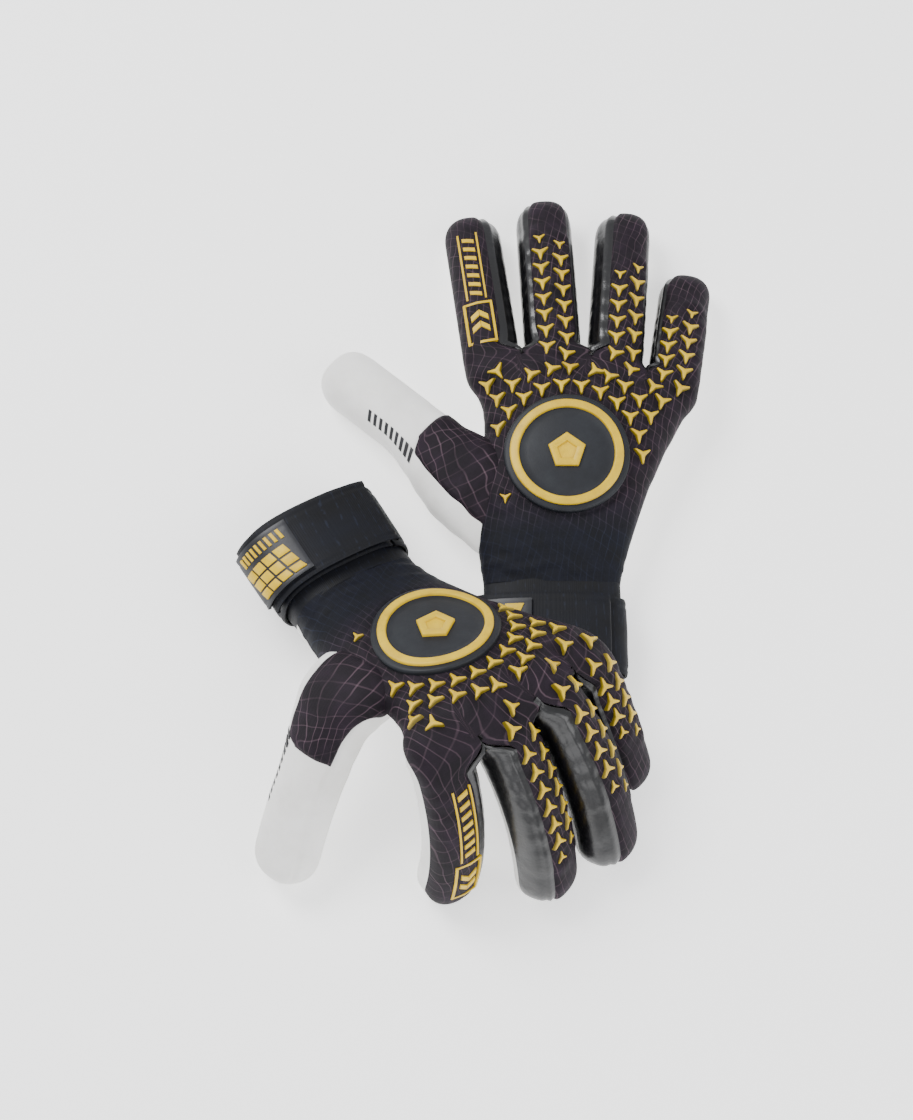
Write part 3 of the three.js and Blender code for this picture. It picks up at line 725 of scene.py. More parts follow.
def ring_mesh(g, surface, outline, heights, flip=1):
    """Closed rings of one outline, each scaled by a factor and lifted; the last may close on the middle."""
    turns = outline.shape[0]
    factor, lift = np.array(heights).T
    flat = outline[None] * factor[:, None, None]
    p = lay(g, surface, flat[..., 0], flat[..., 1], lift[:, None] + 0 * flat[..., 0], flip=flip)
    faces = grid_faces(len(factor), turns, g["sign"] * flip, closed=True)
    return p.reshape(-1, 3), faces, flat.reshape(-1, 2)


# %% [markdown]
# ## Thumb, cuff and strap
# The thumb is a roll of white latex that widens towards the heel of the hand, with a patch of
# the back's fabric on its top. The cuff is a neoprene tube with a bound edge. The strap goes
# once round it and closes with a flap on hook tape, and a moulded tab to pull it open by.

# %% Thumb and cuff surfaces
AROUND = 28.0            # millimetres round the cuff for each radian


def thumb_point(g, angle, s, phi, raise_by=0.0):
    """Rounded box like a finger's, widened near its root: much towards the wrist, a little above."""
    closing = np.maximum(np.cos(phi), 0) ** 0.8
    half, deep = WIDTH["thumb"] / 2 + raise_by, DEPTH["thumb"] / 2 + raise_by
    across = power(np.cos(angle), SECTION_POWER)
    flare = np.where(across < 0, 13 * (1 - smooth(s, -6, 50)), 5 * (1 - smooth(s, -4, 22)))
    deep = deep * (1 - 0.5 * smooth(-s, 2, 34))
    l = (half + flare) * across * closing
    z = deep * power(np.sin(angle), SECTION_POWER) * closing
    reach = s + half * np.sin(phi) ** 0.9
    return world(g, pose_digit(g, "thumb", reach, l, z)), np.stack(np.broadcast_arrays(angle * 16, reach), -1)


def cuff_point(g, angle, below, raise_by):
    """Superellipse of the wrist, run on below it with a slight flare."""
    flare = CUFF_FLARE * below / CUFF_LENGTH + raise_by
    x = WRIST_OFFSET + (WRIST_WIDTH / 2 + flare) * power(np.cos(angle), SECTION_POWER)
    z = (WRIST_DEPTH / 2 * g["fill"] + flare) * power(np.sin(angle), SECTION_POWER)
    return world(g, pose_hand(g, x, -BADGE_TO_WRIST - below, z))


def cuff_panel(name, g, angles, below, base, wall, finish, crown=0.0, closed=False, drape=0.0):
    """A strip round the cuff between two angles and two distances; the top crowns and sinks at its edges."""
    a, b = angles[None, :], below[:, None]
    v = (b - below[0]) / (below[-1] - below[0])
    t = (a - angles[0]) / (angles[-1] - angles[0])
    edge = crown * (1 - np.abs(2 * v - 1) ** 10) * (1 if closed else (1 - np.abs(2 * t - 1) ** 40))
    seam = -0.5 * (np.exp(-((v - 0.09) / 0.018) ** 2) + np.exp(-((v - 0.91) / 0.018) ** 2)) * (crown > 0)
    wave = drape * np.sin(b * 0.31 + 1.7 * np.sin(a * 2.0)) * np.sin(a * 3.1 + b * 0.05)
    outer = cuff_point(g, a, b, base + wall - crown + edge + seam + wave)
    flip = g["sign"]
    n = grid_normals(outer, flip, closed)
    flat = np.stack(np.broadcast_arrays(a * 28, -BADGE_TO_WRIST - b), -1)
    return panel(name, outer, n, flat, wall - crown * 0.5, flip, finish, closed)


# %% [markdown]
# ## Finishes
# The knit is a printed polyester: plum-black with thin crossing lines, and almost navy by the
# wrist. A print follows the cloth, so it reads the UV map, where 0.01 is a millimetre. Latex
# foam has fine pores, coated fabric a soft gloss with tiny rucks, rubber a matt moulded grain.
# Those have no direction, so they read Object coordinates.

# %% A small kit for node materials
def new_finish(name, roughness, **shader):
    """An empty material with its shader; returns the material and a function that adds nodes."""
    mat = bpy.data.materials.new(name)
    mat.use_nodes = True
    tree = mat.node_tree
    bsdf = tree.nodes["Principled BSDF"]
    bsdf.inputs["Roughness"].default_value = roughness
    for key, value in shader.items():
        bsdf.inputs[key.replace("_", " ")].default_value = value

    def add(kind, link=None, out=None, **values):
        node = tree.nodes.new("ShaderNode" + kind)
        for key, value in values.items():
            spot = key.replace("_", " ")
            if hasattr(node, key) and spot not in node.inputs:
                setattr(node, key, value)
            else:
                node.inputs[spot].default_value = value
        for spot, source in (link or {}).items():
            tree.links.new(source, node.inputs[spot])
        return node if out is None else node.outputs[out]
    return mat, bsdf, tree, add


def ramp(add, source, *stops):
    """Colour ramp from (place, colour) pairs."""
    node = add("ValToRGB", {"Fac": source})
    e = node.color_ramp.elements
    while len(e) < len(stops):
        e.new(0.5)
    for spot, (place, colour) in zip(e, stops):
        spot.position = place
        spot.color = (*colour, 1) if len(colour) == 3 else colour
    return node.outputs["Color"]


def blend_colours(add, factor, a, b, kind="MIX"):
    """Mix node; each colour is a tuple or another node's output."""
    node = add("Mix", data_type="RGBA", blend_type=kind)
    for spot, value in ((0, factor), (6, a), (7, b)):
        if isinstance(value, (tuple, float, int)):
            node.inputs[spot].default_value = (*value, 1) if isinstance(value, tuple) else value
        else:
            node.id_data.links.new(value, node.inputs[spot])
    return node.outputs[2]


def bump(add, tree, bsdf, *layers):
    """Stacks bumps: each layer is a height, a strength and a distance in metres."""
    last = None
    for height, strength, distance in layers:
        node = add("Bump", {"Height": height}, Strength=strength, Distance=distance)
        if last is not None:
            tree.links.new(last, node.inputs["Normal"])
        last = node.outputs["Normal"]
    tree.links.new(last, bsdf.inputs["Normal"])


def srgb(code):
    """Linear colour from a six-digit code, by the 2.2 power rule."""
    return tuple((int(code[k:k + 2], 16) / 255) ** 2.2 for k in (0, 2, 4))


def stretched(add, source, sx, sy, sz=1.0, angle=0.0):
    """Mapping node: scales and turns a pattern."""
    turned = (0, 0, np.radians(angle))
    return add("Mapping", {"Vector": source}, "Vector", Scale=(sx, sy, sz), Rotation=turned)


# %% Knit and neoprene
def thin_lines(add, uv, angle, pitch, warp, width):
    """Thin wavy lines: the crests of a distorted wave, one every pitch millimetres."""
    turned = stretched(add, uv, 1, 1, 1, angle)
    wave = add("TexWave", {"Vector": turned}, "Fac", wave_type="BANDS", bands_direction="X",
               Scale=np.pi / (10 * pitch * 0.01), Distortion=warp, Detail=2.0, Detail_Scale=0.55)
    return ramp(add, wave, (1 - width, (0, 0, 0)), (1.0, (1, 1, 1)))


def knit_finish():
    mat, bsdf, tree, add = new_finish("printed_knit", 0.7, Specular_IOR_Level=0.22)
    uv = add("UVMap", None, "UV", uv_map="pattern")
    place = add("SeparateXYZ", {"Vector": uv})
    cloud = add("TexNoise", {"Vector": uv}, "Fac", Scale=9.0, Detail=4.0, Roughness=0.6)
    plum = ramp(add, cloud, (0.3, srgb("100c12")), (0.5, srgb("1a131b")), (0.72, srgb("241a25")))
    navy = ramp(add, cloud, (0.3, srgb("080a11")), (0.7, srgb("0e111d")))
    down = add("MapRange", {"Value": place.outputs["Y"]}, "Result", From_Min=-0.42, From_Max=-0.16)
    base = blend_colours(add, down, navy, plum)
    first = thin_lines(add, uv, 12, 3.6, 5.0, 0.05)
    second = thin_lines(add, uv, -58, 5.6, 6.5, 0.035)
    net = blend_colours(add, 0.55, first, second, "ADD")
    fade = ramp(add, add("TexNoise", {"Vector": uv}, "Fac", Scale=6.0, Detail=2.0),
                (0.35, (0.25, 0.25, 0.25)), (0.65, (1, 1, 1)))
    net = blend_colours(add, 1.0, net, fade, "MULTIPLY")
    ink = blend_colours(add, down, srgb("252a3a"), srgb("6b5661"))
    amount = add("Math", {0: net}, "Value", operation="MULTIPLY")
    amount.node.inputs[1].default_value = 0.42
    tree.links.new(blend_colours(add, amount, base, ink), bsdf.inputs["Base Color"])
    stitch = add("TexWave", {"Vector": uv}, "Fac", wave_type="BANDS", bands_direction="X",
                 Scale=np.pi / (10 * 0.9 * 0.01), Distortion=1.2, Detail=1.0)
    course = add("TexWave", {"Vector": uv}, "Fac", wave_type="BANDS", bands_direction="Y",
                 Scale=np.pi / (10 * 0.7 * 0.01), Distortion=1.2, Detail=1.0)
    weave = blend_colours(add, 0.5, stitch, course)
    bump(add, tree, bsdf, (cloud, 0.35, 0.0012), (weave, 0.35, 0.00018), (net, 0.25, 0.0001))
    return mat


def neoprene_finish():
    mat, bsdf, tree, add = new_finish("neoprene", 0.6, Specular_IOR_Level=0.25)
    uv = add("UVMap", None, "UV", uv_map="pattern")
    cloud = add("TexNoise", {"Vector": uv}, "Fac", Scale=7.0, Detail=3.0)
    base = ramp(add, cloud, (0.3, srgb("07080d")), (0.7, srgb("0d1019")))
    dashes = thin_lines(add, uv, 3, 3.4, 2.2, 0.10)
    broken = ramp(add, add("TexNoise", {"Vector": stretched(add, uv, 30, 8)}, "Fac", Scale=3.0),
                  (0.48, (0, 0, 0)), (0.60, (1, 1, 1)))
    dashes = blend_colours(add, 1.0, dashes, broken, "MULTIPLY")
    amount = add("Math", {0: dashes}, "Value", operation="MULTIPLY")
    amount.node.inputs[1].default_value = 0.35
    tree.links.new(blend_colours(add, amount, base, srgb("262c3c")), bsdf.inputs["Base Color"])
    rib = add("TexWave", {"Vector": uv}, "Fac", wave_type="BANDS", bands_direction="X",
              Scale=np.pi / (10 * 0.8 * 0.01), Distortion=0.8)
    bump(add, tree, bsdf, (cloud, 0.3, 0.001), (rib, 0.3, 0.00012))
    return mat


# %% Latex, gusset, rubber, towelling and tape
def object_finish(name, roughness, colours, layers, **shader):
    """Finish on Object coordinates: a cloudy colour, and bumps on top of it.

    Each bump is its noise scale per metre, its strength and its distance in metres.
    """
    mat, bsdf, tree, add = new_finish(name, roughness, **shader)
    here = add("TexCoord", None, "Object")
    cloud = add("TexNoise", {"Vector": here}, "Fac", Scale=colours[0], Detail=5.0, Roughness=0.65)
    stops = [(0.28 + 0.44 * k / (len(colours) - 2), srgb(c)) for k, c in enumerate(colours[1:])]
    base = ramp(add, cloud, *stops)
    tree.links.new(base, bsdf.inputs["Base Color"])
    heights = [(add("TexNoise", {"Vector": here}, "Fac", Scale=scale, Detail=3.0), strength, distance)
               for scale, strength, distance in layers]
    bump(add, tree, bsdf, *heights)
    return mat, bsdf, tree, add, base


def rubber_finish(name, top, painted_flank_shade, edge):
    """Moulded rubber: the top colour, and a darker olive painted on the flanks as shade, where the mesh's
    face attribute says so.
    """
    grain = [(900.0, 0.25, 0.0002), (3500.0, 0.2, 0.0001)]
    mat, bsdf, tree, add, base = object_finish(name, 0.46, (90.0, *top), grain, Specular_IOR_Level=0.45)
    # painted shade: the face attribute sets how much of the darker flank colour is laid over the top colour
    painted_shade = add("Attribute", None, "Fac", attribute_name="painted_shade", attribute_type="GEOMETRY")
    worn = add("TexNoise", {"Vector": add("TexCoord", None, "Object")}, "Fac", Scale=700.0, Detail=4.0)
    specks = ramp(add, worn, (0.62, (0, 0, 0)), (0.74, (1, 1, 1)))
    amount = add("Math", {0: specks}, "Value", operation="MULTIPLY")
    amount.node.inputs[1].default_value = 0.28
    dirty = blend_colours(add, amount, base, srgb(edge))
    tree.links.new(blend_colours(add, painted_shade, dirty, srgb(painted_flank_shade)), bsdf.inputs["Base Color"])
    return mat


FINISH = {
    "printed_knit": knit_finish(),
    "neoprene": neoprene_finish(),
    "latex_foam": object_finish("latex_foam", 0.6, (26.0, "dcdad6", "e9e8e5", "f1f0ee"),
                                [(160.0, 0.30, 0.0008), (2600.0, 0.35, 0.00012)])[0],
    "gusset_coating": object_finish("gusset_coating", 0.3, (40.0, "060608", "0b0b0e", "121216"),
                                    [(120.0, 0.4, 0.0012), (700.0, 0.3, 0.0003)], Coat_Weight=0.25,
                                    Coat_Roughness=0.25)[0],
    "badge_rubber": object_finish("badge_rubber", 0.52, (60.0, "15171b", "1c1e23", "222529"),
                                  [(1400.0, 0.3, 0.00012), (300.0, 0.15, 0.0003)],
                                  Specular_IOR_Level=0.3)[0],
    "towel_lining": object_finish("towel_lining", 0.9, (120.0, "8f9094", "b9babd", "d0d0d2"),
                                  [(1100.0, 0.9, 0.0009)], Sheen_Weight=0.4)[0],
    "hook_tape": object_finish("hook_tape", 0.75, (200.0, "08080a", "15161a", "232429"),
                               [(1500.0, 1.0, 0.0006)])[0],
    "tab_rubber": object_finish("tab_rubber", 0.45, (80.0, "121318", "1a1b21", "23242a"),
                                [(1200.0, 0.3, 0.00015)])[0],
    # the second colour is painted shade on the stars' flanks; the third is for random darker specks
    "yellow_rubber": rubber_finish("yellow_rubber", ("b89400", "caa600", "d6b200"), "6b5c02", "8a7402"),
    "print_ink": object_finish("print_ink", 0.55, (150.0, "101013", "1a1a1e", "26262b"),
                               [(1500.0, 0.3, 0.0001)])[0],
}
print("finishes:", ", ".join(FINISH))


# %% [markdown]
# ## Building one glove
# Everything above is put to work once per glove. Each piece hides the frame parts it stands for,
# and the pieces of the hand and cuff ride on their body. Finger panels reach across the
# knuckle and are baked in place.

# %% Placing a piece
BLEND_START, BLEND_END = 2.0, 16.0


def place_piece(g, obj, slot, nodes, finger=None, body="hand"):
    """Hides the parts the piece replaces and attaches it to its body; a finger's piece is only baked in
    place. The slot is not used.
    """
    side = g["side"]
    if nodes:
        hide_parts(*[f"{side}_{n}" for n in nodes])
    if finger is None:
        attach(obj, f"{side}_{body}")
        return obj
    ends = [world(g, pose_digit(g, finger, np.array(s), np.array(0.0), np.array(0.0)))
            for s in (BLEND_START, BLEND_END)]
    tuple(ends[0])
    tuple(ends[1])
    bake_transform(obj)
    return obj


def hand_grid(strips, key):
    """The four strips up to the crotch, side by side, each shared border once."""
    rows = HAND_END + 1
    parts = [strips[n][key][:rows, :-1] for n in FINGERS] + [strips["pinky"][key][:rows, -1:]]
    return np.concatenate(parts, axis=1)


# %% Hand, finger backs, palms and gussets
def make_skins(g):
    """Back and palm of the hand, four finger backs, four finger palms and six gussets."""
    side = g["side"]
    backs, palms = build_strips(g, False), build_strips(g, True)
    for strips, flip, node, slot, wall in ((backs, 1, "hand_back", "printed_knit", BACK_WALL),
                                           (palms, -1, "palm_latex", "latex_foam", LATEX_WALL)):
        p, n, flat = (hand_grid(strips, k) for k in ("p", "n", "flat"))
        obj = panel(f"{side}_{node}_skin", p, unit(n), flat, wall, flip * g["sign"], FINISH[slot])
        place_piece(g, obj, slot, [node])
        for name in FINGERS:
            t = {k: v[HAND_END:] for k, v in strips[name].items()}
            part = "back" if flip > 0 else "palm"
            obj = panel(f"{side}_{name}_{part}_skin", t["p"], t["n"], t["flat"], FINGER_WALL,
                        flip * g["sign"], FINISH[slot])
            place_piece(g, obj, slot, [f"{name}_{part}"], finger=name)
    for (name, edge), (p, n, flat, flip) in build_gussets(g, backs, palms).items():
        obj = panel(f"{side}_{name}_{edge}_gusset_skin", p, n, flat, GUSSET_WALL, flip,
                    FINISH["gusset_coating"])
        place_piece(g, obj, "gusset_coating", [GUSSET_NODE[(name, edge)]], finger=name)
    return backs, palms


for g in POSTURE.values():
    g["backs"], g["palms"] = make_skins(g)
print("skin panels on each glove: 2 of the hand, 8 of the fingers and 6 gussets")


# %% Thumbs
def make_thumb(g):
    """The latex roll of the thumb, its fabric patch and a printed row of slanted dashes."""
    side = g["side"]
    angle = np.linspace(0, 2 * np.pi, 96, endpoint=False)[None, :]
    s = np.concatenate([np.linspace(-34, LENGTH["thumb"], 78), np.full(16, LENGTH["thumb"])])[:, None]
    phi = np.concatenate([np.zeros(78), np.linspace(0, np.pi / 2, 17)[1:]])[:, None]
    p, flat = thumb_point(g, angle, s, phi)
    flip = -g["sign"]
    n = grid_normals(p, flip, closed=True)
    seam = -0.8 * np.exp(-((angle - np.radians(22)) * 16 / 1.6) ** 2) * (1 - smooth(phi, 0.3, 1.2))
    fold = 0.18 * np.sin(s * 0.42 + 1.5 * np.sin(angle * 2)) * (1 - smooth(s, 25, 60)) * np.cos(phi)
    dent = -0.9 * np.exp(-((s - 33) / 5.0) ** 2) * np.sin(angle).clip(0) ** 2
    p = p + n * (seam + fold + dent)[..., None] * MM
    n = grid_normals(p, flip, closed=True)
    obj = panel(f"{side}_thumb_skin", p, n, flat, 2.6, flip, FINISH["latex_foam"], closed=True)
    place_piece(g, obj, "latex_foam", ["thumb_latex"], finger="thumb")

    u = np.linspace(-1, 1, 40)[None, :]
    along = np.linspace(-26, 31, 60)[:, None]
    corner = 1 - 0.5 * smooth(along, 23, 31) ** 3
    wide = 52 + 34 * (1 - smooth(along, -8, 12)) * (u > 0)
    patch_angle = np.radians(74) - np.radians(wide) * u * np.where(u > 0, 1, corner)
    over, _ = thumb_point(g, patch_angle, along + 0 * u, 0 * along)
    n = grid_normals(over, g["sign"])
    edge = np.minimum.reduce([1 - np.abs(u) + 0 * along, (31 - along) / 14 + 0 * u])
    lift = 1.5 * smooth(edge, 0, 0.12) - 0.35 + 0.12 * np.sin(along * 0.5 + 2 * u)
    over = over + n * lift[..., None] * MM
    n = grid_normals(over, g["sign"])
    flat = np.stack(np.broadcast_arrays(ROOT["index"][0] + u * 14, along + 10), -1)
    obj = panel(f"{side}_thumb_patch_skin", over, n, flat, 1.6, g["sign"], FINISH["printed_knit"])
    place_piece(g, obj, "printed_knit", ["thumb_patch"], finger="thumb")

    k = np.arange(9)[:, None]
    base = 26 + 3.9 * k
    corners = np.stack([np.hstack([-14.0 + 0 * k, base]), np.hstack([-9.6 + 0 * k, base + 2.4]),
                        np.hstack([-9.6 + 0 * k, base + 4.4]), np.hstack([-14.0 + 0 * k, base + 2.0])], 1)
    points, faces, flat = tile_mesh(g, on_thumb(g), corners, 0.12, base=0.1, along=6, edge=0.2)
    obj = make_object(f"{side}_thumb_print", points, faces, None, flat, FINISH["print_ink"])
    place_piece(g, obj, "badge_rubber", [], finger="thumb")


for g in POSTURE.values():
    make_thumb(g)

# %% Cuffs and straps
SPLIT, FLAP_END = np.radians(50), np.radians(174)
BINDING_RADIUS = 2.2
STRAP_RAISE, STRAP_WALL, STRAP_GAP = 0.5, 2.4, 2.4 / 35
FLAP_RAISE, FLAP_WALL = 5.3, 2.5
TAPE_WALL, TAPE_LENGTH, TAPE_HALF_WIDTH = 0.6, 30, 17
TAB_RAISE, TAB_WALL, TAB_LENGTH, TAB_HALF_WIDTH = 8.0, 2.0, 36, 16


def make_cuff(g):
    """Cuff tube, bound edge, strap, hook patches, flap and pull tab, in the order they are sewn."""
    side = g["side"]
    ring = np.linspace(0, 2 * np.pi, 160, endpoint=False)
    tube = cuff_panel(f"{side}_cuff_skin", g, ring, np.linspace(-1.5, CUFF_LENGTH, 44),
                      -CUFF_WALL + 0.01, CUFF_WALL, FINISH["neoprene"], closed=True, drape=0.25)
    place_piece(g, tube, "neoprene", ["cuff_band"])
    a, round_it = ring[None, :], np.linspace(0, 2 * np.pi, 13)[:, None]
    outer = cuff_point(g, a, CUFF_LENGTH - 1.2 + BINDING_RADIUS * np.sin(round_it),
                       -1.5 + BINDING_RADIUS * np.cos(round_it))
    n = grid_normals(outer, g["sign"], closed=True)
    flat = np.stack(np.broadcast_arrays(a * AROUND, round_it * 2), -1)
    bound = make_object(f"{side}_cuff_binding", outer.reshape(-1, 3), grid_faces(13, 160, g["sign"], True),
                        None, flat.reshape(-1, 2), FINISH["neoprene"])
    place_piece(g, bound, "neoprene", [])
    middle = STRAP_TO_WRIST + STRAP_WIDTH / 2
    low, high = middle - STRAP_WIDTH / 2, middle + STRAP_WIDTH / 2
    strap = cuff_panel(f"{side}_strap_skin", g, np.linspace(SPLIT, SPLIT + 2 * np.pi - STRAP_GAP, 150),
                       np.linspace(low, high, 40), STRAP_RAISE, STRAP_WALL, FINISH["neoprene"],
                       crown=0.8, drape=0.1)
    place_piece(g, strap, "neoprene", ["strap_wrap"])
    radius = (WRIST_WIDTH + WRIST_DEPTH * g["fill"]) / 4 + 5.6
    hook_from = FLAP_END - TAPE_LENGTH / radius
    body = "flap" if side in FLAP_OPENS else "hand"
    for node, base in (("loop_patch", 3.4), ("hook_patch", 4.5)):
        tape = cuff_panel(f"{side}_{node}_skin", g, np.linspace(hook_from, FLAP_END, 24),
                          np.linspace(middle - TAPE_HALF_WIDTH, middle + TAPE_HALF_WIDTH, 20),
                          base, TAPE_WALL, FINISH["hook_tape"])
        place_piece(g, tape, "hook_tape", [node], body=body if node == "hook_patch" else "hand")
    flap = cuff_panel(f"{side}_flap_skin", g, np.linspace(SPLIT, FLAP_END, 90), np.linspace(low, high, 40),
                      FLAP_RAISE, FLAP_WALL, FINISH["neoprene"], crown=0.9, drape=0.12)
    place_piece(g, flap, "neoprene", ["strap_flap"], body=body)
    tab_from = FLAP_END - TAB_LENGTH / radius
    tab = cuff_panel(f"{side}_tab_skin", g, np.linspace(tab_from, FLAP_END, 40),
                     np.linspace(middle - TAB_HALF_WIDTH, middle + TAB_HALF_WIDTH, 30),
                     TAB_RAISE, TAB_WALL, FINISH["tab_rubber"], crown=0.3)
    place_piece(g, tab, "tab_rubber", ["strap_tab"], body=body)
    make_lattice(g, tab_from * AROUND, FLAP_END * AROUND, middle, body)


def make_lattice(g, start, stop, middle, body):
    """Yellow lattice of slanted cells on the tab, three rows of four, and a row of dashes under it."""
    long = stop - start
    cells = []
    for row in range(3):
        for k in range(4):
            a0 = start + long * (0.06 + 0.205 * k + 0.035 * row)
            b0 = middle - 13 + 6.2 * row
            w, h, lean = long * 0.17, 5.0, long * 0.035
            cells.append([(a0, b0), (a0 + w, b0), (a0 + w + lean, b0 + h), (a0 + lean, b0 + h)])
    for k in range(9):
        a0 = start + long * (0.10 + 0.09 * k)
        cells.append([(a0, middle + 7.4), (a0 + long * 0.045, middle + 7.4), (a0 + long * 0.065, middle + 13),
                      (a0 + long * 0.02, middle + 13)])
    corners = np.array(cells)
    tab_top = on_cuff(g, TAB_RAISE + TAB_WALL)
    points, faces, flat = tile_mesh(g, tab_top, corners, 0.6, base=0.05, along=4, edge=0.3)
    obj = make_object(f"{g['side']}_tab_lattice", points, faces, None, flat, FINISH["yellow_rubber"])
    place_piece(g, obj, "yellow_rubber", [], body=body)


FLAP_OPENS = [g["side"] for g in POSTURE.values() if f"{g['side']}_flap" in frame["bodies"]]
for g in POSTURE.values():
    make_cuff(g)
print("straps that open:", FLAP_OPENS)


# %% [markdown]
# ## Badge, stars and ribs
# These are the moulded yellow and charcoal prints. The badge is a disc with a ring and a plain
# five-sided motif. The forefinger carries a long raised panel of slanted bars in a frame.

# %% Badge
def make_badge(g):
    """Disc, ring and motif: outlines carried inwards in steps of height."""
    side, skin = g["side"], on_hand(g)
    turn_by = np.linspace(0, 2 * np.pi, 120, endpoint=False)
    circle = np.stack([np.cos(turn_by), np.sin(turn_by)], -1)
    disc = [(BADGE_RADIUS, -0.6), (BADGE_RADIUS, 1.9), (31.6, 2.5), (31.0, 2.85), (30.2, 2.9)]
    disc += [(24.3, 2.9), (23.8, 2.6)] + [(r, 2.6) for r in (20, 16, 12, 8, 4, 0.01)]
    rim = [(28.5, 2.2), (28.4, 3.9), (28.0, 4.3), (27.5, 4.4)]
    rim += [(24.9, 4.4), (24.4, 4.3), (24.1, 3.9), (24.0, 2.2)]
    wedge = (turn_by - np.pi / 2) % (2 * np.pi / 5) - np.pi / 5
    five = circle * (np.cos(np.pi / 5) / np.cos(wedge))[:, None]
    motif = [(10.0, 2.2), (9.9, 3.9), (9.5, 4.3), (8.9, 4.4), (5.6, 4.4)]
    motif += [(5.2, 4.1), (5.0, 3.2), (4.0, 3.1), (0.01, 3.1)]
    for name, node, outline, steps, finish in (
            ("badge_disc_skin", "badge_disc", circle, disc, "badge_rubber"),
            ("badge_ring_skin", "badge_ring", circle, rim, "yellow_rubber"),
            ("badge_motif_skin", "badge_motif", five, motif, "yellow_rubber")):
        points, faces, flat = ring_mesh(g, skin, outline, steps)
        obj = make_object(f"{side}_{name}", points, faces, None, flat, FINISH[finish])
        place_piece(g, obj, finish, [node])


for g in POSTURE.values():
    make_badge(g)


# %% Stars
def make_stars(g):
    """Stars of the hand in one piece, and those of each finger in one piece laid on its curled back."""
    side = g["side"]
    points, faces, painted_shade_weights = star_mesh(g, on_hand(g), STARS_HAND)
    obj = make_object(f"{side}_hand_stars", points, faces, None, None, FINISH["yellow_rubber"], painted_shade_weights)
    place_piece(g, obj, "yellow_rubber", ["star_panel"])
    for name in ("middle", "ring", "pinky"):
        mine = STARS_FINGER[np.abs(STARS_FINGER[:, 0] - ROOT[name][0]) < 13]
        local = mine - np.array([*ROOT[name], 0])
        points, faces, painted_shade_weights = star_mesh(g, on_finger(g, name), local)
        obj = make_object(f"{side}_{name}_stars", points, faces, None, None, FINISH["yellow_rubber"], painted_shade_weights)
        place_piece(g, obj, "yellow_rubber", [], finger=name)


for g in POSTURE.values():
    make_stars(g)
print("star pieces:", 4, "on each glove")


# %% Forefinger ribs
def make_ribs(g):
    """Two rails, slanted bars between them, and a box with a chevron at one end."""
    left, right, start, stop = (-9.0, 5.6, 14.0, 82.0) if g["mirrored"] else (-11.0, 4.0, 10.0, 80.0)
    box = 25.0
    near_tip = g["mirrored"]
    b0, b1 = (stop - box, stop) if near_tip else (start, start + box)
    n0, n1 = (start, stop - box - 2) if near_tip else (start + box + 2, stop)
    q = lambda a0, a1, c0, c1: [(a0, c0), (a1, c0), (a1, c1), (a0, c1)]
    frame_bars = [q(left, left + 1.3, b0, b1), q(right - 1.3, right, b0, b1),
                  q(left, right, b0, b0 + 1.3), q(left, right, b1 - 1.3, b1),
                  q(left + 2.2, left + 3.2, n0, n1), q(right - 3.2, right - 2.2, n0, n1)]
    count = int((n1 - n0 - 2) // 5.2)
    bars = []
    for k in range(count):
        c = n0 + 1.5 + k * (n1 - n0 - 3) / count
        bars.append([(left + 4.4, c + 1.6), (right - 4.4, c), (right - 4.4, c + 2.4), (left + 4.4, c + 4.0)])
    mid, c = (left + right) / 2, (b0 + b1) / 2
    for shift in (-6.2, 0.6):
        y = c + shift
        bars.append([(left + 3.0, y), (mid, y + 3.4), (mid, y + 7.0), (left + 3.0, y + 3.6)])
        bars.append([(mid, y + 3.4), (right - 3.0, y), (right - 3.0, y + 3.6), (mid, y + 7.0)])
    skin = on_finger(g, "index")
    sets = [tile_mesh(g, skin, frame_bars, 1.15, along=26, edge=0.25),
            tile_mesh(g, skin, bars, 1.25, along=8, edge=0.25)]
    points = np.concatenate([sets[0][0], sets[1][0]])
    faces = np.concatenate([sets[0][1], sets[1][1] + len(sets[0][0])])
    # the ribs get no painted shade
    obj = make_object(f"{g['side']}_index_ribs", points, faces, None, None, FINISH["yellow_rubber"],
                      np.zeros(len(faces)))
    place_piece(g, obj, "yellow_rubber", ["index_rib_panel"], finger="index")


for g in POSTURE.values():
    make_ribs(g)


# %% Lining
def make_lining(g):
    """A towelling sock: the hand's section drawn in by the padding, from the wrist to the knuckles."""
    side = g["side"]
    angle = np.linspace(0, 2 * np.pi, 90, endpoint=False)[None, :]
    share = np.linspace(0.02, 0.93, 50)[:, None]
    inset = np.where(np.sin(angle) > 0, -(BACK_WALL + 0.9), -(LATEX_WALL + 1.6))
    x, y, z = hand_flat(g, angle, share, inset)
    p = world(g, pose_hand(g, x, y, z))
    flip = -g["sign"]
    n = grid_normals(p, flip, closed=True)
    flat = np.stack([angle * 20 + 0 * share, y], -1)
    obj = panel(f"{side}_lining_skin", p, n, flat, LINING_WALL, flip, FINISH["towel_lining"], closed=True)
    place_piece(g, obj, "towel_lining", ["palm_lining"])


for g in POSTURE.values():
    make_lining(g)


# %% [markdown]
# ## Floor, light and camera
# A pale floor and broad soft lights, as in a product studio. The camera looks down steeply
# from the side of the cuffs.

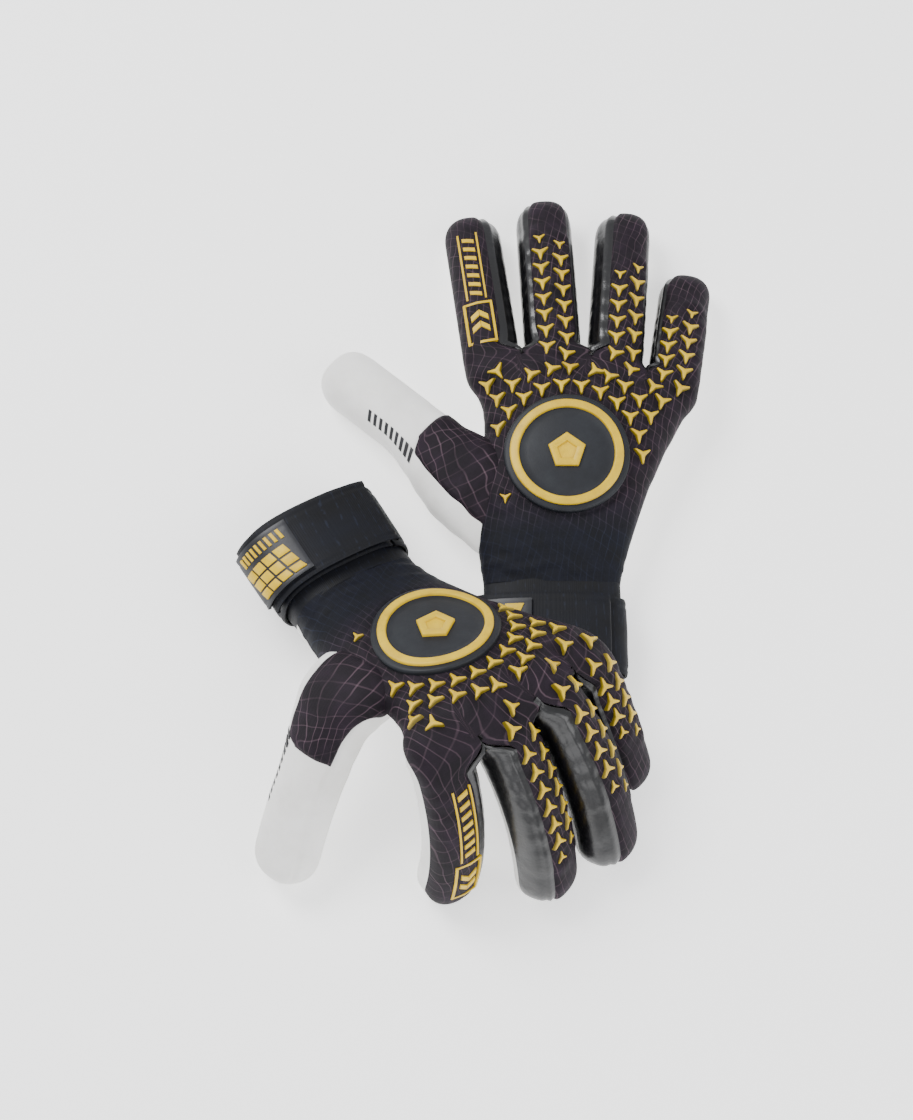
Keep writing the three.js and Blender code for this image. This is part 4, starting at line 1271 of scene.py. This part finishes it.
# %% Studio
def studio_floor():
    """A pale flat plane under the gloves, with a faint grain."""
    corners = np.array([(-3, -3, 0), (3, -3, 0), (3, 3, 0), (-3, 3, 0)], float)
    floor = make_object("studio_floor", corners, [[0, 1, 2, 3]])
    grain = [(40.0, 0.02, 0.0005)]
    paint, bsdf = object_finish("floor_paint", 0.8, (3.0, "fbfbf9", "fdfdfc", "ffffff"), grain)[:2]
    bsdf.inputs["Emission Color"].default_value = (1, 1, 1, 1)
    bsdf.inputs["Emission Strength"].default_value = 0.7
    floor.data.materials.append(paint)


def area_light(name, place, target, size, power):
    """Square soft light aimed at a point."""
    lamp = bpy.data.lights.new(name, "AREA")
    lamp.size, lamp.energy = size, power
    obj = bpy.data.objects.new(name, lamp)
    obj.location = place
    obj.rotation_euler = (Vector(target) - Vector(place)).to_track_quat("-Z", "Y").to_euler()
    bpy.context.scene.collection.objects.link(obj)


studio_floor()
area_light("key_light", (-0.9, 0.7, 1.5), (0, 0, 0), 0.9, 34)
area_light("fill_light", (1.1, -0.5, 1.3), (0, 0, 0), 1.2, 16)
area_light("front_light", (0.0, -1.4, 0.9), (0, 0, 0), 1.0, 8)
world_light = bpy.data.worlds.new("studio_world")
world_light.use_nodes = True
world_light.node_tree.nodes["Background"].inputs["Color"].default_value = (0.96, 0.97, 1.0, 1)
world_light.node_tree.nodes["Background"].inputs["Strength"].default_value = 0.9
bpy.context.scene.world = world_light

# %% Camera
CAMERA_ELEVATION, CAMERA_DISTANCE = np.radians(68.0), 1.39
CAMERA_TARGET = Vector((-0.0114, -0.0156, 0.02))
SENSOR_WIDTH = 36
FRAME_HEIGHT, FOCAL_LENGTH = 1120, 2700    # both in steps of the image, so their ratio sets the lens
camera = bpy.data.cameras.new("camera")
camera.lens, camera.sensor_width = SENSOR_WIDTH * FOCAL_LENGTH / FRAME_HEIGHT, SENSOR_WIDTH
view = bpy.data.objects.new("camera", camera)
back = Vector((0, -np.cos(CAMERA_ELEVATION), np.sin(CAMERA_ELEVATION)))
view.location = CAMERA_TARGET + back * CAMERA_DISTANCE
view.rotation_euler = (np.pi / 2 - CAMERA_ELEVATION, 0, 0)
bpy.context.scene.collection.objects.link(view)
bpy.context.scene.camera = view
